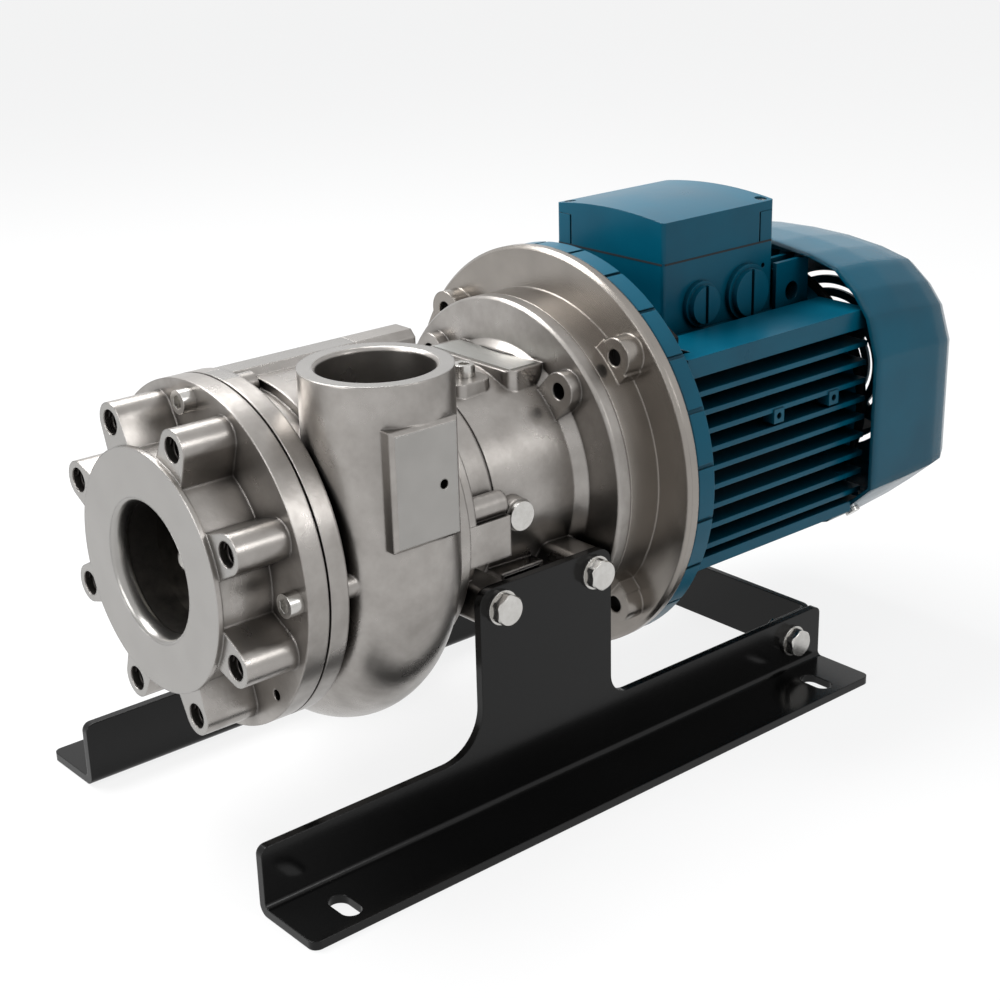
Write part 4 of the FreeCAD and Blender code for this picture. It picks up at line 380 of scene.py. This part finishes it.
# Flared mouth of the suction cover
# The lead-in is turned into the stainless cover and rounded, so that the liquid meets no edge.
mouth_face_x = -0.215
mouth_depth = 0.0095
mouth_wide = 0.03995
mouth_narrow = 0.0366
mouth_steps = 10
mouth_segments = 96
profile = [(mouth_face_x + mouth_depth, mouth_wide)]
for step in range(mouth_steps + 1):
    turn = math.pi / 2 * step / mouth_steps
    profile.append((mouth_face_x + mouth_depth * (1 - math.cos(turn)),
                    mouth_wide - (mouth_wide - mouth_narrow) * math.sin(turn)))
mouth = bmesh.new()
loops = []
for segment in range(mouth_segments):
    angle = 2 * math.pi * segment / mouth_segments
    loops.append([mouth.verts.new((x, radius * math.sin(angle), shaft_z + radius * math.cos(angle)))
                  for x, radius in profile])
for first, second in zip(loops, loops[1:] + loops[:1]):
    for k in range(len(profile)):
        n = (k + 1) % len(profile)
        mouth.faces.new((first[k], first[n], second[n], second[k]))
finish_piece("suction_flare", mouth, cover_stainless)


# Fasteners, plugs and washers
# Cold headed stainless steel screws, tumbled bright: smooth faces, crisp but not sharp edges.
tumble_mark = 0.004
fine_scratch = 0.0006


def headed_steel(name, low, high, low_gloss, high_gloss):
    """Cold headed steel with patches between two colours and two roughnesses."""
    material, tree, shader, coordinates = start_material(name)
    vector = coordinates.outputs["Object"]
    patches = add(tree, "TexNoise", {"Scale": 1 / tumble_mark, "Detail": 3.0}, {"Vector": vector})
    scratches = add(tree, "TexNoise", {"Scale": 1 / fine_scratch, "Detail": 2.0}, {"Vector": vector})
    soft_edge = add(tree, "Bevel", {"samples": 4, "Radius": 0.0005})
    bump = add(tree, "Bump", {"Strength": 0.15, "Distance": 0.00005},
               {"Height": scratches.outputs["Fac"], "Normal": soft_edge.outputs[0]})
    colour = add(tree, "Mix", {"data_type": "RGBA", 6: linear(low), 7: linear(high)},
                 {0: patches.outputs["Fac"]})
    gloss = add(tree, "Mix", {2: low_gloss, 3: high_gloss}, {0: patches.outputs["Fac"]})
    shader.inputs["Metallic"].default_value = 1.0
    tree.links.new(colour.outputs[2], shader.inputs["Base Color"])
    tree.links.new(gloss.outputs[0], shader.inputs["Roughness"])
    tree.links.new(bump.outputs[0], shader.inputs["Normal"])
    return material


bright_screws = headed_steel("headed_stainless_screws", "#b3b1ad", "#cfcdca", 0.18, 0.28)
dress(bright_screws, "cover_screws", "housing_screws", "port_plug", "side_port_plug", "plate_bolts",
      "plate_washers", "cross_bolts", "cross_washers", "cross_nuts", "impeller_screw", "lid_screws",
      "cowl_screws")


# Screws that hold the adapter ring to the bracket and to the motor
# High tensile steel coloured nearly black, painted shade, so that the lug holes look dark.
hole_shade_screws = headed_steel("steel_screws_painted_hole_shade", "#151515", "#202021", 0.40, 0.52)
dress(hole_shade_screws, "adapter_screws", "motor_screws")


# Blank name plate on the bracket pad
# Thin rolled aluminium with a brushed face, lying in its milled seat.
# Brush lines are far finer than 0.1 mm; they are drawn 0.7 mm apart and 17 mm long so that they show.
brush_line_gap = 0.0007
brush_line_length = 0.017
plate_aluminium, tree, shader, coordinates = start_material("brushed_aluminium_plate")
stretched = add(tree, "Mapping", {"Scale": (1 / brush_line_gap, 1 / brush_line_length, 1 / brush_line_gap)},
                {"Vector": coordinates.outputs["Object"]})
lines = add(tree, "TexNoise", {"Scale": 1.0, "Detail": 2.0}, {"Vector": stretched.outputs[0]})
bump = add(tree, "Bump", {"Strength": 0.2, "Distance": 0.00005}, {"Height": lines.outputs["Fac"]})
colour = add(tree, "Mix", {"data_type": "RGBA", 6: linear("#a3a4a2"), 7: linear("#bdbebb")},
             {0: lines.outputs["Fac"]})
shader.inputs["Metallic"].default_value = 1.0
shader.inputs["Roughness"].default_value = 0.34
tree.links.new(colour.outputs[2], shader.inputs["Base Color"])
tree.links.new(bump.outputs[0], shader.inputs["Normal"])
dress(plate_aluminium, "name_plate")


# Adapter ring between the bracket and the motor flange
# Stainless steel turned all over on a lathe: a little darker and browner than the castings, with rings on
# every face.
adapter_front_x = 0.0385


def turned_everywhere(tree, coordinates):
    """All of the ring behind its front edge."""
    spot = add(tree, "SeparateXYZ", {}, {"Vector": coordinates.outputs["Object"]})
    return add(tree, "Math", {"operation": "GREATER_THAN", 1: adapter_front_x},
               {0: spot.outputs[0]}).outputs[0]


adapter_stainless = blasted_stainless("turned_stainless_adapter", "X", (0, 0, shaft_z), turned_everywhere,
                                      cut_shade=("#86817c", "#9a958f"))
dress(adapter_stainless, "adapter_ring")


# Shaft, bearings and the sliding seal rings inside
# Ground and polished steel, with dark lapped ceramic for the seal faces and moulded rubber rings.
# Grinding lines are too fine to show; they are drawn 0.6 mm apart.
grinding_line = 0.0006
steel_patch = 0.006
moulded_patch = 0.010


def ground_steel(name, low, high, roughness):
    """Steel ground round the shaft axis."""
    material, tree, shader, coordinates = start_material(name)
    rings = turned_rings(tree, coordinates.outputs["Object"], "X", (0, 0, shaft_z), grinding_line)
    patches = add(tree, "TexNoise", {"Scale": 1 / steel_patch, "Detail": 3.0},
                  {"Vector": coordinates.outputs["Object"]})
    bump = add(tree, "Bump", {"Strength": 0.1, "Distance": 0.00005}, {"Height": rings})
    colour = add(tree, "Mix", {"data_type": "RGBA", 6: linear(low), 7: linear(high)},
                 {0: patches.outputs["Fac"]})
    shader.inputs["Metallic"].default_value = 1.0
    shader.inputs["Roughness"].default_value = roughness
    tree.links.new(colour.outputs[2], shader.inputs["Base Color"])
    tree.links.new(bump.outputs[0], shader.inputs["Normal"])
    return material


def moulded(name, low, high, roughness, grain):
    """A moulded or pressed non-metal whose surface grain measures grain metres."""
    material, tree, shader, coordinates = start_material(name)
    vector = coordinates.outputs["Object"]
    patches = add(tree, "TexNoise", {"Scale": 1 / moulded_patch, "Detail": 3.0}, {"Vector": vector})
    fine = add(tree, "TexNoise", {"Scale": 1 / grain, "Detail": 2.0}, {"Vector": vector})
    bump = add(tree, "Bump", {"Strength": 0.25, "Distance": 0.0001}, {"Height": fine.outputs["Fac"]})
    colour = add(tree, "Mix", {"data_type": "RGBA", 6: linear(low), 7: linear(high)},
                 {0: patches.outputs["Fac"]})
    shader.inputs["Roughness"].default_value = roughness
    tree.links.new(colour.outputs[2], shader.inputs["Base Color"])
    tree.links.new(bump.outputs[0], shader.inputs["Normal"])
    return material


dress(ground_steel("ground_shaft_steel", "#a9aaab", "#bfc0c1", 0.22), "shaft", "impeller_key",
      "seal_body", "seal_spring")
dress(ground_steel("polished_bearing_steel", "#b5b6b8", "#cccdcf", 0.10), "drive_bearing_outer",
      "drive_bearing_inner", "drive_bearing_balls", "fan_bearing_outer", "fan_bearing_inner",
      "fan_bearing_balls")
dress(moulded("lapped_ceramic", "#2b2b2d", "#343437", 0.25, 0.0004), "seal_seat", "seal_face")
dress(moulded("nitrile_rubber", "#161616", "#1f1f1f", 0.65, 0.0005), "cover_o_ring", "casing_o_ring",
      "lip_seal")


# Motor housing, end shields, terminal box and fan cowl
# Pressure cast aluminium and pressed sheet under one coat of petrol blue enamel: semi-gloss, with a
# faint orange peel, slightly cloudy over 50 mm, and darkened by painted shade within 22 mm of a corner.
coat_cloud = 0.050
enamel_shade_reach = 0.022


def petrol_enamel(name, gloss=0.27, peel=0.0022, edge=0.0009):
    """One coat of enamel whose orange peel measures peel metres, over edges rounded to edge, with painted
    shade in its corners.
    """
    material, tree, shader, coordinates = start_material(name)
    vector = coordinates.outputs["Object"]
    coat = add(tree, "TexNoise", {"Scale": 1 / coat_cloud, "Detail": 4.0}, {"Vector": vector})
    coat = add(tree, "MapRange", {"From Min": 0.3, "From Max": 0.7}, {"Value": coat.outputs["Fac"]})
    waves = add(tree, "TexNoise", {"Scale": 1 / peel, "Detail": 2.0}, {"Vector": vector})
    soft_edge = add(tree, "Bevel", {"samples": 4, "Radius": edge})
    bump = add(tree, "Bump", {"Strength": 0.14, "Distance": 0.00012},
               {"Height": waves.outputs["Fac"], "Normal": soft_edge.outputs[0]})
    colour = add(tree, "Mix", {"data_type": "RGBA", 6: linear("#004a60"), 7: linear("#00556c")},
                 {0: coat.outputs[0]})
    # Painted shade: the colour darkens towards a near black blue in corners and between the fins.
    corner_shade = add(tree, "AmbientOcclusion", {"samples": 6, "Distance": enamel_shade_reach})
    corner_shade = add(tree, "MapRange", {"From Min": 0.20, "From Max": 0.75}, {"Value": corner_shade.outputs["AO"]})
    colour = add(tree, "Mix", {"data_type": "RGBA", 6: linear("#00141c")},
                 {0: corner_shade.outputs[0], 7: colour.outputs[2]})
    roughness = add(tree, "Mix", {2: gloss, 3: gloss + 0.07}, {0: coat.outputs[0]})
    shader.inputs["IOR"].default_value = 1.5
    shader.inputs["Specular IOR Level"].default_value = 0.18
    tree.links.new(colour.outputs[2], shader.inputs["Base Color"])
    tree.links.new(roughness.outputs[0], shader.inputs["Roughness"])
    tree.links.new(bump.outputs[0], shader.inputs["Normal"])
    return material


motor_enamel = petrol_enamel("petrol_enamel_casting")
cowl_enamel = petrol_enamel("petrol_enamel_cowl", 0.20, 0.0030, 0.0100)
plug_enamel = petrol_enamel("petrol_enamel_plugs", 0.30, 0.0015, 0.0005)
dress(motor_enamel, "drive_shield", "motor_frame", "rear_shield", "terminal_box", "terminal_lid")
dress(cowl_enamel, "fan_cowl")
dress(plug_enamel, "gland_plug_small", "gland_plug_large")


# Seal of the terminal box lid
# A thin moulded rubber cord pressed between box and lid, which shows as a fine dark line; its blue-black
# colour is partly the rubber and partly painted shade of the seam.
def frame_strip(mesh, x0, x1, y0, y1, z0, z1, thickness):
    """A flat rectangular frame with its outside on the given box."""
    outside = [(x0, y0), (x1, y0), (x1, y1), (x0, y1)]
    inside = [(x0 + thickness, y0 + thickness), (x1 - thickness, y0 + thickness),
              (x1 - thickness, y1 - thickness), (x0 + thickness, y1 - thickness)]
    loops = [[mesh.verts.new((x, y, z)) for x, y in outline]
             for outline, z in ((outside, z0), (outside, z1), (inside, z1), (inside, z0))]
    for first, second in zip(loops, loops[1:] + loops[:1]):
        for k in range(4):
            n = (k + 1) % 4
            mesh.faces.new((first[k], first[n], second[n], second[k]))


lid_seal = bmesh.new()
box_low, box_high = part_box("terminal_box")
seam_height = 0.112
seal_lip = 0.00015
seal_half_length = 0.04665
seal_half_height = 0.0006
seal_width = 0.0022
seal_corner = 0.0016
seam_z = shaft_z + seam_height
frame_strip(lid_seal, box_low[0] - seal_lip, box_high[0] + seal_lip, -seal_half_length, seal_half_length,
            seam_z - seal_half_height, seam_z + seal_half_height, seal_width)
bmesh.ops.bevel(lid_seal, geom=[e for e in lid_seal.edges
                                if abs(e.verts[0].co.z - e.verts[1].co.z) > seal_half_height],
                offset=seal_corner, segments=3, affect="EDGES")
# Blue-black: partly the rubber and partly painted shade of the seam.
finish_piece("lid_seal", lid_seal, moulded("lid_rubber_and_seam_shade", "#050b10", "#091118", 0.7, 0.0005),
             smooth=False)


# Stator, rotor and windings inside the motor, terminal board and fan
# Stacked electrical sheet, varnished copper, pressed resin board and a moulded fan.
dress(ground_steel("stacked_sheet_steel", "#5d5e60", "#6e6f71", 0.45), "stator_core", "rotor")
dress(moulded("varnished_windings", "#7a3f1c", "#8f4f24", 0.35, 0.0012), "stator_windings")
dress(moulded("pressed_resin_board", "#3a2f22", "#453829", 0.5, 0.0006), "terminal_board")
dress(moulded("moulded_fan_nylon", "#17181a", "#202124", 0.5, 0.0008), "cooling_fan")


# Base rails and cross member
# Bent steel sheet under glossy black powder coat: nearly mirror-like, with a soft orange peel.
peel_wave = 0.004
coat_drift = 0.060
powder_coat, tree, shader, coordinates = start_material("black_powder_coat")
vector = coordinates.outputs["Object"]
waves = add(tree, "TexNoise", {"Scale": 1 / peel_wave, "Detail": 2.0}, {"Vector": vector})
coat = add(tree, "TexNoise", {"Scale": 1 / coat_drift, "Detail": 3.0}, {"Vector": vector})
soft_edge = add(tree, "Bevel", {"samples": 4, "Radius": 0.0010})
bump = add(tree, "Bump", {"Strength": 0.10, "Distance": 0.00012},
           {"Height": waves.outputs["Fac"], "Normal": soft_edge.outputs[0]})
colour = add(tree, "Mix", {"data_type": "RGBA", 6: linear("#070707"), 7: linear("#0d0d0d")},
             {0: coat.outputs["Fac"]})
roughness = add(tree, "Mix", {2: 0.12, 3: 0.20}, {0: coat.outputs["Fac"]})
shader.inputs["IOR"].default_value = 1.45
shader.inputs["Specular IOR Level"].default_value = 0.28
tree.links.new(colour.outputs[2], shader.inputs["Base Color"])
tree.links.new(roughness.outputs[0], shader.inputs["Roughness"])
tree.links.new(bump.outputs[0], shader.inputs["Normal"])
dress(powder_coat, "rail_near", "rail_far", "cross_member")


bpy.context.scene.view_settings.view_transform = "Standard"
